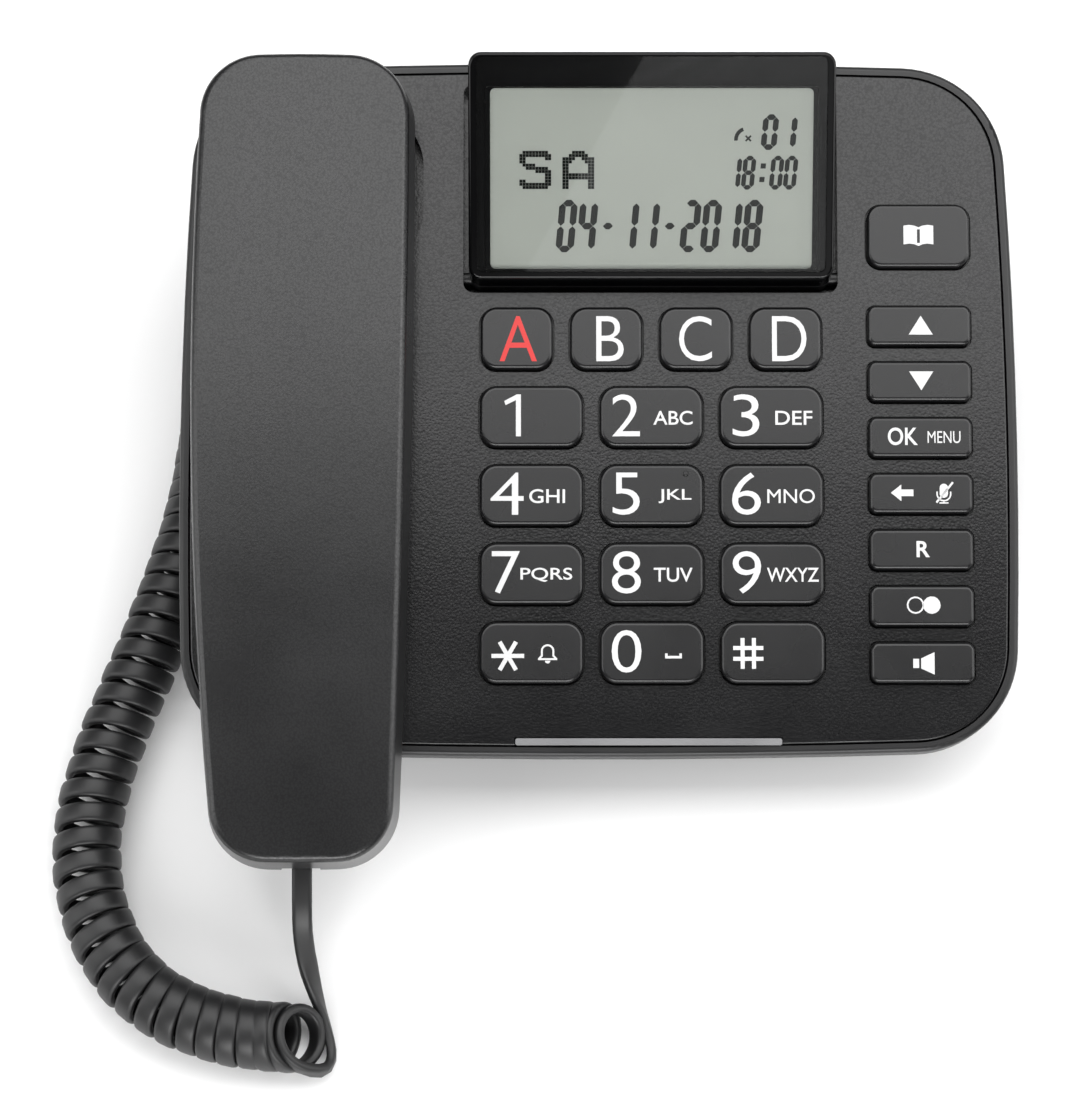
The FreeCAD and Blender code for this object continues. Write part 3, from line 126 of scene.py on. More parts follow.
HANDSET_TAIL = [
    (-0.0655, -0.1400, 0.0048), (-0.0636, -0.1364, 0.0030), (-0.0644, -0.1316, 0.0030),
    (-0.0662, -0.1260, 0.0040), (-0.0679, -0.1210, 0.0066), (-0.0692, -0.1168, 0.0108),
    (-0.0700, -0.1132, 0.0160), (-0.0704, -0.1096, 0.0214), (-0.0704, -0.1048, 0.0257),
    (-0.0704, -0.0959, 0.0283)]
HANDSET_TAIL_SIDES = [
    (0.5, -0.8, 0), (1, -0.2, 0), (1, 0.1, 0), (1, 0.2, 0.1), (0.9, 0, 0.4), (0.6, -0.3, 0.7),
    (0.2, -0.7, 0.7), (0, -0.8, 0.6), (0, -0.5, 0.8), (0, -0.3, 1)]


def smooth_line(name, points, resolution):
    """Return closely spaced points on one NURBS curve with these control points."""
    data = bpy.data.curves.new(name, "CURVE")
    data.dimensions = "3D"
    spline = data.splines.new("NURBS")
    spline.points.add(len(points) - 1)
    for control, point in zip(spline.points, points):
        control.co = (*point, 1)
    spline.order_u = 3
    spline.use_endpoint_u = True
    spline.resolution_u = resolution
    carrier = bpy.data.objects.new(name, data)
    line = bpy.data.meshes.new_from_object(carrier)
    found = [vertex.co.copy() for vertex in line.vertices]
    bpy.data.objects.remove(carrier)
    bpy.data.meshes.remove(line)
    return found


def distances_along(points):
    """Return how far each point lies along its line."""
    total = [0.0]
    for before, after in zip(points, points[1:]):
        total.append(total[-1] + (after - before).length)
    return total


axis_line = smooth_line("coil_axis", COIL_ROUTE, 24)
axis_run = distances_along(axis_line)
print("coil %.0f mm long, with %.1f turns" % (axis_run[-1] / MM, TURNS))

# %% [markdown]
# Each turn is a ring square to the middle line.  The turns stand further
# apart in the middle of the coil, where it bends, and close up at both ends.
# The last two tip over on to their side, because the flat end pulls on them.

# %% The turns of the spring
TIPPED_LENGTH = 14.0 * MM
TIPPED_ANGLE = math.radians(58)


def axis_at(distance):
    """Return the place and direction of the coil's middle line at a distance."""
    index = 1
    while index < len(axis_run) - 1 and axis_run[index] < distance:
        index += 1
    start, end = axis_line[index - 1], axis_line[index]
    share = (distance - axis_run[index - 1]) / (axis_run[index] - axis_run[index - 1])
    before = axis_line[max(index - 6, 0)]
    after = axis_line[min(index + 5, len(axis_line) - 1)]
    return start.lerp(end, share), (after - before).normalized()


def wound_turns():
    """Return the spring's control points and the way each one faces."""
    points = []
    sides = []
    length = axis_run[-1]
    count = round(TURNS * STEPS_PER_TURN)
    for step in range(count + 1):
        share = step / count
        distance = length * (share - PITCH_CHANGE * math.sin(2 * math.pi * share) / (2 * math.pi))
        place, along = axis_at(distance)
        near_end = max(0.0, 1 - (length - distance) / TIPPED_LENGTH)
        tip = TIPPED_ANGLE * near_end * near_end * (3 - 2 * near_end)
        axis = along * math.cos(tip) + Vector((0, 0, math.sin(tip)))
        up = (Vector((0, 0, 1)) - axis * axis.z).normalized()
        aside = axis.cross(up)
        turn = 2 * math.pi * TURNS * share
        unevenness = 1 + 0.012 * math.sin(0.37 * turn) + 0.008 * math.sin(0.83 * turn + 1)
        outward = up * math.cos(turn) + aside * math.sin(turn)
        points.append(place + outward * TURN_RADIUS * unevenness)
        sides.append(outward)
    return points, sides


turn_points, turn_sides = wound_turns()
controls = [Vector(point) for point in BASE_TAIL] + turn_points + [Vector(point) for point in HANDSET_TAIL]
control_sides = ([Vector(side) for side in BASE_TAIL_SIDES] + turn_sides
                 + [Vector(side) for side in HANDSET_TAIL_SIDES])
cord_line = smooth_line("cord_line", controls, 2)
print("%d control points, cord %.2f m long" % (len(controls), distances_along(cord_line)[-1]))

# %% [markdown]
# The lead has a flat section with round edges.  It keeps its broad side
# outwards on the spring, and twists to lie flat where it enters each plug.  A
# bevelled curve would choose its own twist, so the skin is laid ring by ring.

# %% The cord's skin
SECTION_POINTS = 14


def flat_section():
    """Return the cord's section: across its width, and through its thickness."""
    found = []
    for number in range(SECTION_POINTS):
        angle = 2 * math.pi * number / SECTION_POINTS
        across = math.copysign(abs(math.cos(angle)) ** 0.4, math.cos(angle))
        through = math.copysign(abs(math.sin(angle)) ** 0.65, math.sin(angle))
        found.append((across * CORD_WIDTH / 2, through * CORD_THICK / 2))
    return found


def facing(number, count):
    """Return the way the cord faces at one of the points along its line."""
    place = (len(controls) - 2) * number / (count - 1) + 0.5
    low = min(int(place), len(controls) - 2)
    return control_sides[low].lerp(control_sides[low + 1], min(place - low, 1.0))


def cord_skin(line):
    """Build the flat cord as one closed mesh along its line."""
    section = flat_section()
    places = []
    faces = []
    last = len(line) - 1
    for number, point in enumerate(line):
        along = (line[min(number + 1, last)] - line[max(number - 1, 0)]).normalized()
        outward = facing(number, len(line))
        outward = (outward - along * outward.dot(along)).normalized()
        across = along.cross(outward)
        for wide, thick in section:
            places.append(point + across * wide + outward * thick)
    for ring in range(last):
        start = ring * SECTION_POINTS
        for number in range(SECTION_POINTS):
            after = (number + 1) % SECTION_POINTS
            faces.append((start + number, start + SECTION_POINTS + number,
                          start + SECTION_POINTS + after, start + after))
    faces.append(tuple(range(SECTION_POINTS)))
    faces.append(tuple(reversed(range(last * SECTION_POINTS, (last + 1) * SECTION_POINTS))))
    mesh = bpy.data.meshes.new("curly_cord")
    mesh.from_pydata(places, [], faces)
    return mesh


def deselect():
    """Leave nothing selected."""
    for piece in bpy.context.selected_objects:
        piece.select_set(False)


def only(piece):
    """Make one piece the selected and active one."""
    deselect()
    piece.select_set(True)
    bpy.context.view_layer.objects.active = piece


def outwards(piece):
    """Turn every face of a closed piece outwards."""
    only(piece)
    bpy.ops.object.mode_set(mode="EDIT")
    bpy.ops.mesh.select_all(action="SELECT")
    bpy.ops.mesh.remove_doubles(threshold=0.000001)
    bpy.ops.mesh.normals_make_consistent(inside=False)
    bpy.ops.object.mode_set(mode="OBJECT")


cord = bpy.data.objects.new("curly_cord", cord_skin(cord_line))
scene.collection.objects.link(cord)
outwards(cord)
bpy.ops.object.shade_smooth_by_angle(angle=math.radians(60))
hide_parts("cord_coil", "cord_handset_tail", "cord_base_tail")
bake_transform(cord)
print("cord mesh:", len(cord.data.polygons), "faces")

# %% [markdown]
# Finishes.  Nearly everything here is black plastic, and what tells the parts
# apart is how each one was moulded: a leathery grain on the deck, a finer one
# on the handset, satin keys, a polished display frame.  One helper mixes a
# plastic from its colour, its gloss and its grain, all in object space, so
# that the grain has a true size.

# %% Helpers for finishes


def new_finish(name):
    """Make an empty material and return it with its tree and shader."""
    material = bpy.data.materials.new(name)
    material.use_nodes = True
    tree = material.node_tree
    return material, tree, tree.nodes["Principled BSDF"]


def noise(tree, scale, detail=3.0):
    """Add an object-space noise and return its node."""
    place = tree.nodes.new("ShaderNodeTexCoord")
    texture = tree.nodes.new("ShaderNodeTexNoise")
    texture.inputs["Scale"].default_value = scale
    texture.inputs["Detail"].default_value = detail
    tree.links.new(place.outputs["Object"], texture.inputs["Vector"])
    return texture


def spread(tree, source, low, high):
    """Map a pattern to a range of values."""
    node = tree.nodes.new("ShaderNodeMapRange")
    node.inputs["From Min"].default_value = 0.3
    node.inputs["From Max"].default_value = 0.7
    node.inputs["To Min"].default_value = low
    node.inputs["To Max"].default_value = high
    tree.links.new(source, node.inputs["Value"])
    return node.outputs["Result"]


def tint(tree, source, colour, change):
    """Vary a colour a little, lighter and darker, with a pattern."""
    ramp = tree.nodes.new("ShaderNodeValToRGB")
    ramp.color_ramp.elements[0].position = 0.3
    ramp.color_ramp.elements[1].position = 0.7
    ramp.color_ramp.elements[0].color = (*[part * (1 - change) for part in colour], 1)
    ramp.color_ramp.elements[1].color = (*[part * (1 + change) for part in colour], 1)
    tree.links.new(source, ramp.inputs["Fac"])
    return ramp.outputs["Color"]


def raise_grain(tree, shader, height, depth, strength):
    """Give the shader a bump of a real depth."""
    bump = tree.nodes.new("ShaderNodeBump")
    bump.inputs["Distance"].default_value = depth
    bump.inputs["Strength"].default_value = strength
    tree.links.new(height, bump.inputs["Height"])
    tree.links.new(bump.outputs["Normal"], shader.inputs["Normal"])


def plastic(name, colour, gloss, grain=0.4 * MM, depth=0.02 * MM, strength=0.4, change=0.12, shine=0.5):
    """Mix a moulded plastic: colour, a range of roughness, its grain's size and depth, and its shine."""
    material, tree, shader = new_finish(name)
    shader.inputs["Specular IOR Level"].default_value = shine
    cloud = noise(tree, 45.0)
    fine = noise(tree, 1 / grain, 2.0)
    tree.links.new(tint(tree, cloud.outputs["Fac"], colour, change), shader.inputs["Base Color"])
    tree.links.new(spread(tree, cloud.outputs["Fac"], *gloss), shader.inputs["Roughness"])
    raise_grain(tree, shader, fine.outputs["Fac"], depth, strength)
    return material


# %% [markdown]
# The grain of the deck and the handset is the leather kind: small rounded cells
# of uneven size with thin creases between them.  The creases are given less
# shine, a painted shade standing in for the shade that falls in them.  A Voronoi
# pattern gives the cells, and a soft noise pushes them out of true so that no
# row of them lines up.

# %% Leather-grained plastic


def leather_plastic(name, colour, gloss, cell, depth, strength, shine=0.5):
    """Mix a plastic whose grain is a field of small uneven cells."""
    material, tree, shader = new_finish(name)
    cloud = noise(tree, 30.0)
    wander = noise(tree, 0.4 / cell, 2.0)
    place = tree.nodes.new("ShaderNodeTexCoord")
    push = tree.nodes.new("ShaderNodeVectorMath")
    push.operation = "MULTIPLY_ADD"
    push.inputs[1].default_value = (cell, cell, cell)
    tree.links.new(wander.outputs["Color"], push.inputs[0])
    tree.links.new(place.outputs["Object"], push.inputs[2])
    cells = tree.nodes.new("ShaderNodeTexVoronoi")
    cells.feature = "SMOOTH_F1"
    cells.inputs["Scale"].default_value = 1 / cell
    cells.inputs["Smoothness"].default_value = 0.6
    tree.links.new(push.outputs["Vector"], cells.inputs["Vector"])
    tree.links.new(tint(tree, cloud.outputs["Fac"], colour, 0.12), shader.inputs["Base Color"])
    tree.links.new(spread(tree, cloud.outputs["Fac"], *gloss), shader.inputs["Roughness"])
    # Less shine in the creases between the cells: painted shade, standing in for the shade that falls in
    # them.
    painted_crease_shade = spread(tree, cells.outputs["Distance"], shine * 1.1, shine * 0.85)
    tree.links.new(painted_crease_shade, shader.inputs["Specular IOR Level"])
    raise_grain(tree, shader, cells.outputs["Distance"], depth, strength)
    return material


# %% [markdown]
# The window over the display is clear and thin, so light is let straight
# through it, and only its polish is seen.  A Fresnel factor mixes a little
# mirror into full transparency.

# %% Clear window


def clear_plastic(name):
    """Mix a clear sheet that shows only its reflections."""
    material, tree, shader = new_finish(name)
    tree.nodes.remove(shader)
    clear = tree.nodes.new("ShaderNodeBsdfTransparent")
    clear.inputs["Color"].default_value = (0.97, 0.98, 0.98, 1)
    mirror = tree.nodes.new("ShaderNodeBsdfGlossy")
    mirror.inputs["Roughness"].default_value = 0.015
    fresnel = tree.nodes.new("ShaderNodeFresnel")
    fresnel.inputs["IOR"].default_value = 1.49
    mix = tree.nodes.new("ShaderNodeMixShader")
    tree.links.new(fresnel.outputs["Fac"], mix.inputs["Fac"])
    tree.links.new(clear.outputs["BSDF"], mix.inputs[1])
    tree.links.new(mirror.outputs["BSDF"], mix.inputs[2])
    tree.links.new(mix.outputs["Shader"], tree.nodes["Material Output"].inputs["Surface"])
    return material


# %% [markdown]
# The metal parts inside are seen only when the telephone is taken apart: zinc
# plated screws, steel speaker cans.  They get a fine brushed unevenness.

# %% Metal


def metal(name, colour, gloss):
    """Mix a plain metal with a slightly uneven polish."""
    material, tree, shader = new_finish(name)
    shader.inputs["Metallic"].default_value = 1.0
    cloud = noise(tree, 400.0)
    tree.links.new(tint(tree, cloud.outputs["Fac"], colour, 0.08), shader.inputs["Base Color"])
    tree.links.new(spread(tree, cloud.outputs["Fac"], *gloss), shader.inputs["Roughness"])
    return material


# %% [markdown]
# Every slot of the record now gets its finish, and each CAD node wears the
# finish of its slot.

# %% Dress the CAD nodes
FINISHES = {
    "deck_grain": leather_plastic("deck_grain", (0.004, 0.004, 0.0045), (0.18, 0.24), 0.6 * MM, 0.07 * MM,
                                  0.25, 0.46),
    "handset_grain": leather_plastic("handset_grain", (0.009, 0.009, 0.0095), (0.26, 0.32), 0.5 * MM,
                                     0.06 * MM, 0.20),
    "dark_shell": plastic("dark_shell", (0.005, 0.005, 0.0055), (0.36, 0.44)),
    "key_plastic": plastic("key_plastic", (0.005, 0.005, 0.0055), (0.25, 0.30), grain=0.3 * MM),
    "foot_rubber": plastic("foot_rubber", (0.02, 0.02, 0.02), (0.75, 0.85)),
    "screw_steel": metal("screw_steel", (0.6, 0.6, 0.62), (0.25, 0.4)),
    "circuit_board": plastic("circuit_board", (0.02, 0.12, 0.05), (0.3, 0.4)),
    "mat_silicone": plastic("mat_silicone", (0.3, 0.31, 0.32), (0.6, 0.7)),
    "gloss_black": plastic("gloss_black", (0.0012, 0.0012, 0.0014), (0.10, 0.16), grain=2 * MM, strength=0.02,
                           shine=0.28),
    "clear_window": clear_plastic("clear_window"),
    "lcd_grey": plastic("lcd_grey", (0.59, 0.605, 0.55), (0.5, 0.6), grain=2 * MM, strength=0.02, change=0.02,
                        shine=0.1),
    "light_guide": plastic("light_guide", (0.20, 0.20, 0.205), (0.3, 0.4)),
    "speaker_steel": metal("speaker_steel", (0.35, 0.35, 0.36), (0.35, 0.5)),
    "jack_plastic": plastic("jack_plastic", (0.02, 0.02, 0.021), (0.25, 0.35)),
    "weight_steel": metal("weight_steel", (0.4, 0.4, 0.41), (0.5, 0.65)),
    "cord_black": plastic("cord_black", (0.008, 0.008, 0.0085), (0.42, 0.48), grain=0.8 * MM, strength=0.15),
    "plug_clear": plastic("plug_clear", (0.05, 0.05, 0.055), (0.15, 0.25)),
}
slot_of = {part["node"]: part["material_slot"] for part in record["subparts"]}
for name, node in nodes.items():
    node.data.materials.clear()
    node.data.materials.append(FINISHES[slot_of[name]])
cord.data.materials.append(FINISHES["cord_black"])
print(len(nodes), "nodes dressed with", len(FINISHES), "finishes")

# %% [markdown]
# The printing.  Each legend is ink with almost no thickness, standing on the
# flat top of its key and moving with it.  Letters come from Blender's own
# font; the rest are outlines drawn in millimetres about the key's middle.
# Shapes with no hole in them can be plain prisms instead, side by side.

# %% Helpers for printing
INK_THICK = 0.05 * MM
INK_RISE = 0.3 * INK_THICK
TEXT_SIZE = 20.0
INK_WHITE = plastic("ink_white", (0.60, 0.60, 0.60), (0.5, 0.6), change=0.02)
INK_RED = plastic("ink_red", (0.55, 0.030, 0.028), (0.5, 0.6), change=0.02)
INK_LCD = plastic("ink_lcd", (0.012, 0.014, 0.012), (0.7, 0.8), change=0.05, shine=0.0)


def made_mesh(piece, name):
    """Turn a flat curve or text into one closed mesh."""
    only(piece)
    bpy.ops.object.convert(target="MESH")
    piece = bpy.context.view_layer.objects.active
    piece.name = name
    outwards(piece)
    return piece


def lettering(name, text, bold):
    """Make one line of letters, thickened a little where they are bold."""
    deselect()
    bpy.ops.object.text_add()
    piece = bpy.context.object
    piece.data.body = text
    piece.data.size = TEXT_SIZE
    piece.data.offset = bold * TEXT_SIZE
    piece.data.extrude = 0.01 * TEXT_SIZE
    piece.data.resolution_u = 5
    return made_mesh(piece, name)


def outline(name, loops):
    """Make a flat shape from closed loops of points in millimetres, filled before it is made small."""
    data = bpy.data.curves.new(name, "CURVE")
    data.dimensions = "2D"
    data.fill_mode = "BOTH"
    data.extrude = INK_THICK / MM / 2
    for loop in loops:
        spline = data.splines.new("POLY")
        spline.points.add(len(loop) - 1)
        for control, (x, y) in zip(spline.points, loop):
            control.co = (x, y, 0, 1)
        spline.use_cyclic_u = True
    piece = bpy.data.objects.new(name, data)
    scene.collection.objects.link(piece)
    piece = made_mesh(piece, name)
    piece.data.transform(Matrix.Scale(MM, 4))
    return piece


def prisms(name, loops):
    """Make a separate closed prism from each loop of points in millimetres."""
    places = []
    faces = []
    for loop in loops:
        low = len(places)
        high = low + len(loop)
        for height in (-INK_THICK / 2, INK_THICK / 2):
            places.extend([(x * MM, y * MM, height) for x, y in loop])
        faces.extend([tuple(range(low, high)), tuple(range(high, high + len(loop)))])
        for number in range(len(loop)):
            after = (number + 1) % len(loop)
            faces.append((low + number, low + after, high + after, high + number))
    mesh = bpy.data.meshes.new(name)
    mesh.from_pydata(places, [], faces)
    piece = bpy.data.objects.new(name, mesh)
    scene.collection.objects.link(piece)
    outwards(piece)
    return piece


def extent(piece):
    """Return the lowest and highest corner of a piece's own mesh."""
    places = [vertex.co for vertex in piece.data.vertices]
    low = Vector([min(place[axis] for place in places) for axis in range(3)])
    high = Vector([max(place[axis] for place in places) for axis in range(3)])
    return low, high


def fitted(piece, width, height):
    """Centre a flat piece and stretch it to a width and height in millimetres."""
    low, high = extent(piece)
    span = high - low
    piece.data.transform(Matrix.Translation(-(low + high) / 2))
    piece.data.transform(Matrix.Diagonal((width * MM / span.x, height * MM / span.y,
                                          INK_THICK / span.z, 1)))
    return piece


def laid(piece, ink, slope, place, body):
    """Lay a flat piece on a slope at a place given along it, and let it ride on a body."""
    piece.data.transform(Matrix.Rotation(slope, 4, "X") @ Matrix.Translation(place))
    piece.data.materials.clear()
    piece.data.materials.append(ink)
    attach(piece, body)
    return piece


KEY_TOP = sloped_box("key_1", DECK_SLOPE)[1].z


def on_key(piece, key, across, along, ink=INK_WHITE):
    """Print a piece on a key, so far from the key's middle in millimetres."""
    low, high = sloped_box(key, DECK_SLOPE)
    middle = (low + high) / 2
    place = Vector((middle.x + across * MM, middle.y + along * MM, KEY_TOP + INK_RISE))
    return laid(piece, ink, DECK_SLOPE, place, key + "_body")


print("key tops stand at %.2f mm along the deck's normal" % (KEY_TOP / MM))

# %% [markdown]
# The digits are tall and light, and the letters beside them small and bold.
# The one has no foot, so it is drawn as an outline: a stem with a flag.  A word
# with an M in it stays light, because the font's M fills wrongly when thickened.

# %% Digits and letters
DIGIT_TALL = 10.2
ONE = [[(0.9, -5.1), (2.1, -5.1), (2.1, 5.1), (1.1, 5.1), (-1.9, 3.5), (-1.6, 2.5), (0.9, 3.7)]]
DIGITS = {"2": 6.7, "3": 6.4, "4": 7.9, "5": 6.5, "6": 6.9, "7": 6.7, "8": 6.9, "9": 6.8, "0": 7.1}
DIGIT_MIDDLE = -6.1
FOUR_MIDDLE = -5.8
WORD_TALL = 3.4
LETTERS = {"2": ("ABC", 9.4), "3": ("DEF", 8.9), "4": ("GHI", 8.6), "5": ("JKL", 7.9), "6": ("MNO", 11.4),
           "7": ("PQRS", 12.4), "8": ("TUV", 9.3), "9": ("WXYZ", 12.4)}
LETTERS_MIDDLE = {"2": 5.2, "3": 5.4, "4": 3.8, "5": 5.6, "6": 4.6, "7": 3.6, "8": 5.1, "9": 4.9}
for digit, width in DIGITS.items():
    piece = fitted(lettering("legend_" + digit, digit, -0.006), width, DIGIT_TALL)
    shift = FOUR_MIDDLE if digit == "4" else DIGIT_MIDDLE
    on_key(piece, "key_" + digit, shift, 0.2)
on_key(outline("legend_1", ONE), "key_1", -4.6, 0.2)
for digit, (word, width) in LETTERS.items():
    bold = 0.0 if "M" in word else 0.008
    piece = fitted(lettering("letters_" + word.lower(), word, bold), width, WORD_TALL)
    on_key(piece, "key_" + digit, LETTERS_MIDDLE[digit], -0.4)
for name, width, shift in (("a", 9.0, 0.4), ("b", 6.6, 0.9), ("c", 7.9, -0.1), ("d", 8.3, 0.9)):
    ink = INK_RED if name == "a" else INK_WHITE
    piece = fitted(lettering("legend_" + name, name.upper(), -0.006), width, 11.0)
    on_key(piece, "key_" + name, shift, -0.2, ink)
print(len(DIGITS) + len(LETTERS) + 5, "legends printed")

# %% [markdown]
# The signs.  The star has six arms, the hash is four crossing bars with a hole
# in the middle, and the rest say what their keys do: ringer, space, directory,
# up, down, back, mute, redial and loudspeaker.

# %% Signs on the keys


def arc(x, y, radius, start, end, steps=14):
    """Return points on an arc, in millimetres and degrees."""
    found = []
    for step in range(steps + 1):
        angle = math.radians(start + (end - start) * step / steps)
        found.append((x + radius * math.cos(angle), y + radius * math.sin(angle)))
    return found


def star(reach, half):
    """Return a six-armed star's outline."""
    points = []
    for arm in range(6):
        angle = math.radians(60 * arm)
        away = (math.cos(angle), math.sin(angle))
        side = (-away[1], away[0])
        points.append((away[0] * reach - side[0] * half, away[1] * reach - side[1] * half))
        points.append((away[0] * reach + side[0] * half, away[1] * reach + side[1] * half))
        notch = angle + math.radians(30)
        points.append((2 * half * math.cos(notch), 2 * half * math.sin(notch)))
    return [points]


def hash_sign(a, c, b, d, t):
    """Return the hash's outline and its hole: bars at a and c, reaching b and d, t thick."""
    xs = (-a - t, -a + t, a - t, a + t)
    ys = (-c - t, -c + t, c - t, c + t)
    outer = [(-b, ys[0]), (xs[0], ys[0]), (xs[0], -d), (xs[1], -d), (xs[1], ys[0]), (xs[2], ys[0]),
             (xs[2], -d), (xs[3], -d), (xs[3], ys[0]), (b, ys[0]), (b, ys[1]), (xs[3], ys[1]),
             (xs[3], ys[2]), (b, ys[2]), (b, ys[3]), (xs[3], ys[3]), (xs[3], d), (xs[2], d),
             (xs[2], ys[3]), (xs[1], ys[3]), (xs[1], d), (xs[0], d), (xs[0], ys[3]), (-b, ys[3]),
             (-b, ys[2]), (xs[0], ys[2]), (xs[0], ys[1]), (-b, ys[1])]
    hole = [(xs[1], ys[1]), (xs[2], ys[1]), (xs[2], ys[2]), (xs[1], ys[2])]
    return [outer, hole]


BELL = [[(-2.3, -1.5), (2.3, -1.5), (2.3, -1.1), (1.6, -0.4)] + arc(0, 0.7, 1.6, 0, 180)
        + [(-1.6, -0.4), (-2.3, -1.1)],
        [(-1.6, -1.05), (-1.15, -0.55)] + arc(0, 0.7, 1.15, 180, 0) + [(1.15, -0.55), (1.6, -1.05)],
        arc(0, -1.65, 0.65, 180, 360)]
SPACE = [[(-2.0, 0.6), (-2.0, -0.6), (2.0, -0.6), (2.0, 0.6), (1.4, 0.6), (1.4, 0.0), (-1.4, 0.0),
          (-1.4, 0.6)]]
BOOK = [[(-3.6, -2.2), (-2.2, -2.0), (-1.0, -2.15), (0, -2.6), (1.0, -2.15), (2.2, -2.0), (3.6, -2.2),
         (3.6, 2.4), (2.3, 2.6), (1.0, 2.4), (0, 2.0), (-1.0, 2.4), (-2.3, 2.6), (-3.6, 2.4)],
        [(-0.35, -1.85), (-0.35, 1.5), (0.35, 1.5), (0.35, -1.85)]]
UPWARDS = [[(-2.9, -2.3), (2.9, -2.3), (0, 2.3)]]
DOWNWARDS = [[(2.9, 2.3), (-2.9, 2.3), (0, -2.3)]]
ARROW = [[(-2.7, 0), (-0.2, 2.0), (-0.2, 0.8), (2.7, 0.8), (2.7, -0.8), (-0.2, -0.8), (-0.2, -2.0)]]
MICROPHONE = [arc(-0.3, 1.1, 1.0, 0, 180) + arc(-0.3, -0.3, 1.0, 180, 360),
              [(-2.1, 0.2), (-2.1, -0.4)] + arc(-0.3, -0.4, 1.8, 180, 360)[1:]
              + [(1.5, 0.2), (1.15, 0.2)] + arc(-0.3, -0.4, 1.45, 360, 180) + [(-1.75, 0.2)],
              [(-0.5, -2.4), (-1.4, -2.4), (-1.4, -2.7), (0.8, -2.7), (0.8, -2.4), (-0.1, -2.4),
               (-0.1, -2.25), (-0.5, -2.25)]]
SLASH = [[(-2.0, -2.3), (-1.6, -2.6), (2.4, 2.3), (2.0, 2.6)]]
REDIAL_RING = [arc(-1.9, 0, 2.1, 0, 345), arc(-1.9, 0, 1.7, 0, 345)]
REDIAL_DISC = [arc(2.0, 0, 2.1, 0, 345)]
LOUDSPEAKER = [[(-2.6, -1.1), (-1.2, -1.1), (-1.2, 1.1), (-2.6, 1.1)],
               [(-0.7, -1.2), (2.5, -2.7), (2.5, 2.7), (-0.7, 1.2)]]
SIGNS = [("star", star(3.9, 0.5), "key_star", -5.6, -0.9), ("bell", BELL, "key_star", 3.9, -0.4),
         ("space", SPACE, "key_0", 5.1, -0.9),
         ("hash", hash_sign(1.35, 1.3, 3.6, 3.7, 0.48), "key_hash", -5.9, -0.3),
         ("book", BOOK, "key_phonebook", 0, 0), ("up", UPWARDS, "key_up", 0.3, 0),
         ("down", DOWNWARDS, "key_down", 0.3, 0), ("arrow", ARROW, "key_back", -4.6, 0),
         ("microphone", MICROPHONE, "key_back", 5.7, 0.1),
         ("redial_ring", REDIAL_RING, "key_redial", 0.2, 0.1),
         ("redial_disc", REDIAL_DISC, "key_redial", 0.2, 0.1),
         ("loudspeaker", LOUDSPEAKER, "key_speaker", 0.2, -0.3)]
for name, loops, key, across, along in SIGNS:
    on_key(outline("sign_" + name, loops), key, across, along)
slash = on_key(outline("sign_slash", SLASH), "key_back", 5.4, 0.1)
on_key(fitted(lettering("legend_ok", "OK", 0.015), 7.2, 4.3), "key_ok", -4.3, 0.1)
on_key(fitted(lettering("legend_menu", "MENU", 0.0), 7.9, 2.9), "key_ok", 5.6, -0.1)
on_key(fitted(lettering("legend_r", "R", 0.02), 3.2, 3.9), "key_recall", 0.3, 0)
print(len(SIGNS) + 4, "signs printed")

# %% [markdown]
# What the display shows: a day in dot letters, a call counter, the time and
# the date.  A digit has seven bars with cut corners, some of them lit, and
# leans a little.  The lit bars are dark, and stand on the panel under the
# window.

# %% The display's figures
LEAN = 0.09
BAR_GAP = 0.1
DOT_PITCH = 0.765
DOT_SHARE = 0.94
BARS = {"0": "abcdef", "1": "bc", "2": "abged", "4": "fgbc", "8": "abcdefg"}


def bar(x, y, length, half, upright):
    """Return one bar with pointed ends, lying or upright."""
    reach = length / 2
    shape = [(-reach, 0), (-reach + half, half), (reach - half, half), (reach, 0), (reach - half, -half),
             (-reach + half, -half)]
    if upright:
        shape = [(-across, along) for along, across in shape]
    return [(x + across, y + along) for across, along in shape]


def figure(sign, x, y, width, height):
    """Return the bars of one figure about its middle."""
    half = width * 0.18
    wide = width - 2 * half - BAR_GAP
    tall = height / 2 - half - BAR_GAP
    level = height / 4 - half / 2
    places = {"a": (0, height / 2 - half, wide, False), "g": (0, 0, wide, False),
              "d": (0, half - height / 2, wide, False), "f": (-width / 2 + half, level, tall, True),
              "b": (width / 2 - half, level, tall, True), "e": (-width / 2 + half, -level, tall, True),
              "c": (width / 2 - half, -level, tall, True)}
    if sign == "-":
        return [bar(x, y, width * 0.55, half, False)]
    if sign == ":":
        dot = half * 1.1
        return [[(x - dot, y + up - dot), (x + dot, y + up - dot), (x + dot, y + up + dot),
                 (x - dot, y + up + dot)] for up in (-height / 5, height / 5)]
    return [bar(x + places[part][0], y + places[part][1], places[part][2], half, places[part][3])
            for part in BARS[sign]]


def figures(text, x, y, pitch, width, height):
    """Return a line of leaning figures about its middle."""
    loops = []
    for number, sign in enumerate(text):
        place = x + (number - (len(text) - 1) / 2) * pitch
        loops.extend(figure(sign, place, y, width, height))
    return [[(across + (along - y) * LEAN, along) for across, along in loop] for loop in loops]


def dot_letter(rows, x, y):
    """Return a letter made of square dots, from rows of marks, about its lower left corner."""
    loops = []
    for level, marks in enumerate(reversed(rows)):
        for column, mark in enumerate(marks):
            if mark == "#":
                left = x + column * DOT_PITCH
                low = y + level * DOT_PITCH
                right = left + DOT_PITCH * DOT_SHARE
                high = low + DOT_PITCH * DOT_SHARE
                loops.append([(left, low), (right, low), (right, high), (left, high)])
    return loops


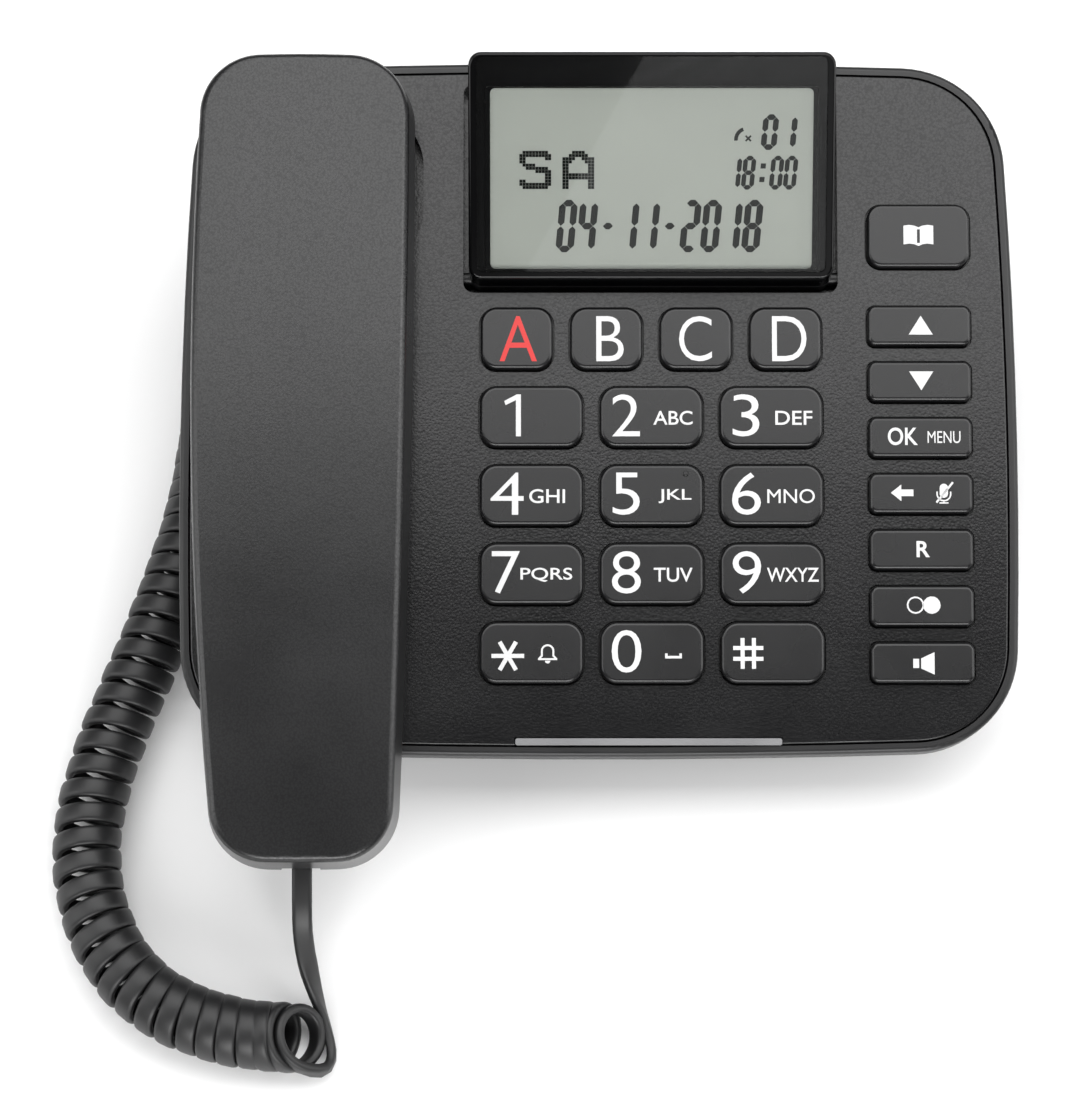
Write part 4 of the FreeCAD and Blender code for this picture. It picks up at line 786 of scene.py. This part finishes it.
DOT_S = (" ######## ", "##########", "##      ##", "##        ", " ####     ", "  ####### ", "     #####",
         "        ##", "        ##", "##      ##", "##########", " ######## ")
DOT_A = ("   ####   ", "  ######  ", "####  ####", "###    ###", "##      ##", "##      ##", "##      ##",
         "##########", "##########", "##      ##", "##      ##", "##      ##")
CALL_MARK = [arc(1.0, -1.2, 3.1, 110, 185, 8) + arc(1.0, -1.2, 2.2, 185, 110, 8),
             [(0.5, -1.4), (0.8, -1.7), (2.1, -0.4), (1.8, -0.1)]]
CALL_CROSS = [[(0.5, -0.4), (1.8, -1.7), (2.1, -1.4), (0.8, -0.1)]]
CALL_PLACE = (21.8, 10.5)
panel_low, panel_high = sloped_box("lcd_panel", SCREEN_SLOPE)
panel_middle = (panel_low + panel_high) / 2
PANEL_TOP = Vector((panel_middle.x, panel_middle.y, panel_high.z + INK_RISE))


def on_display(name, loops):
    """Show a dark shape on the panel."""
    return laid(prisms(name, loops), INK_LCD, SCREEN_SLOPE, PANEL_TOP, "display")


on_display("shown_day_s", dot_letter(DOT_S, -31.6, -2.5))
on_display("shown_day_a", dot_letter(DOT_A, -21.3, -2.5))
on_display("shown_counter", figures("01", 30.5, 11.1, 4.5, 3.8, 8.5))
for name, loops in (("shown_call_mark", CALL_MARK), ("shown_call_cross", CALL_CROSS)):
    on_display(name, [[(x + CALL_PLACE[0], y + CALL_PLACE[1]) for x, y in loop] for loop in loops])
on_display("shown_time", figures("18:00", 26.6, 1.4, 3.35, 3.1, 8.1))
on_display("shown_date", figures("04-11-2018", 2.0, -11.4, 4.95, 4.4, 12.6))
print("display panel middle", [round(x, 4) for x in panel_middle])

# %% [markdown]
# The room: a pale floor, one broad soft light overhead and behind, which
# brightens the upper deck and lets the front fall dark, softer ones at each
# side and low in front to clear the shadows, and a small card high in front,
# whose edge is mirrored in the window.

# %% Floor and light
deselect()
bpy.ops.mesh.primitive_plane_add(size=8.0, location=(0, 0, -0.0002))
floor = bpy.context.object
floor.name = "floor"
floor_paint, floor_tree, floor_shader = new_finish("floor_paper")
floor_shader.inputs["Base Color"].default_value = (0.92, 0.92, 0.92, 1)
floor_shader.inputs["Roughness"].default_value = 0.9
floor_shader.inputs["Specular IOR Level"].default_value = 0.0
floor.data.materials.append(floor_paint)


def soft_light(name, place, aim, width, depth, brightness, roll=0.0):
    """Add an oblong light with a given brightness, aimed at a point."""
    data = bpy.data.lights.new(name, "AREA")
    data.shape = "RECTANGLE"
    data.size = width
    data.size_y = depth
    data.energy = brightness * math.pi * width * depth
    lamp = bpy.data.objects.new(name, data)
    lamp.location = place
    ray = Vector(aim) - Vector(place)
    if ray.xy.length > 0:
        lamp.rotation_euler = ray.to_track_quat("-Z", "Y").to_euler()
    else:
        lamp.rotation_euler = (0, 0, roll)
    scene.collection.objects.link(lamp)
    return lamp


soft_light("overhead", (0.25, 0.62, 1.25), (0.25, 0.62, 0.0), 1.9, 1.40, 3.2)
soft_light("left_side", (-1.30, -0.20, 0.85), (0.0, 0.0, 0.0), 0.9, 1.6, 2.6)
soft_light("right_side", (1.40, -0.10, 0.85), (0.0, 0.0, 0.0), 0.9, 1.6, 2.6)
soft_light("front_fill", (0.0, -1.75, 0.80), (0.0, 0.0, 0.0), 1.6, 0.8, 7.5)
soft_light("window_card", (0.342, -0.80, 1.30), (0.342, -0.80, 0.0), 0.60, 0.60, 0.65, math.radians(-23.7))
world = bpy.data.worlds.new("studio")
world.use_nodes = True
world.node_tree.nodes["Background"].inputs["Color"].default_value = (1, 1, 1, 1)
world.node_tree.nodes["Background"].inputs["Strength"].default_value = 0.10
scene.world = world
scene.view_settings.view_transform = "Standard"
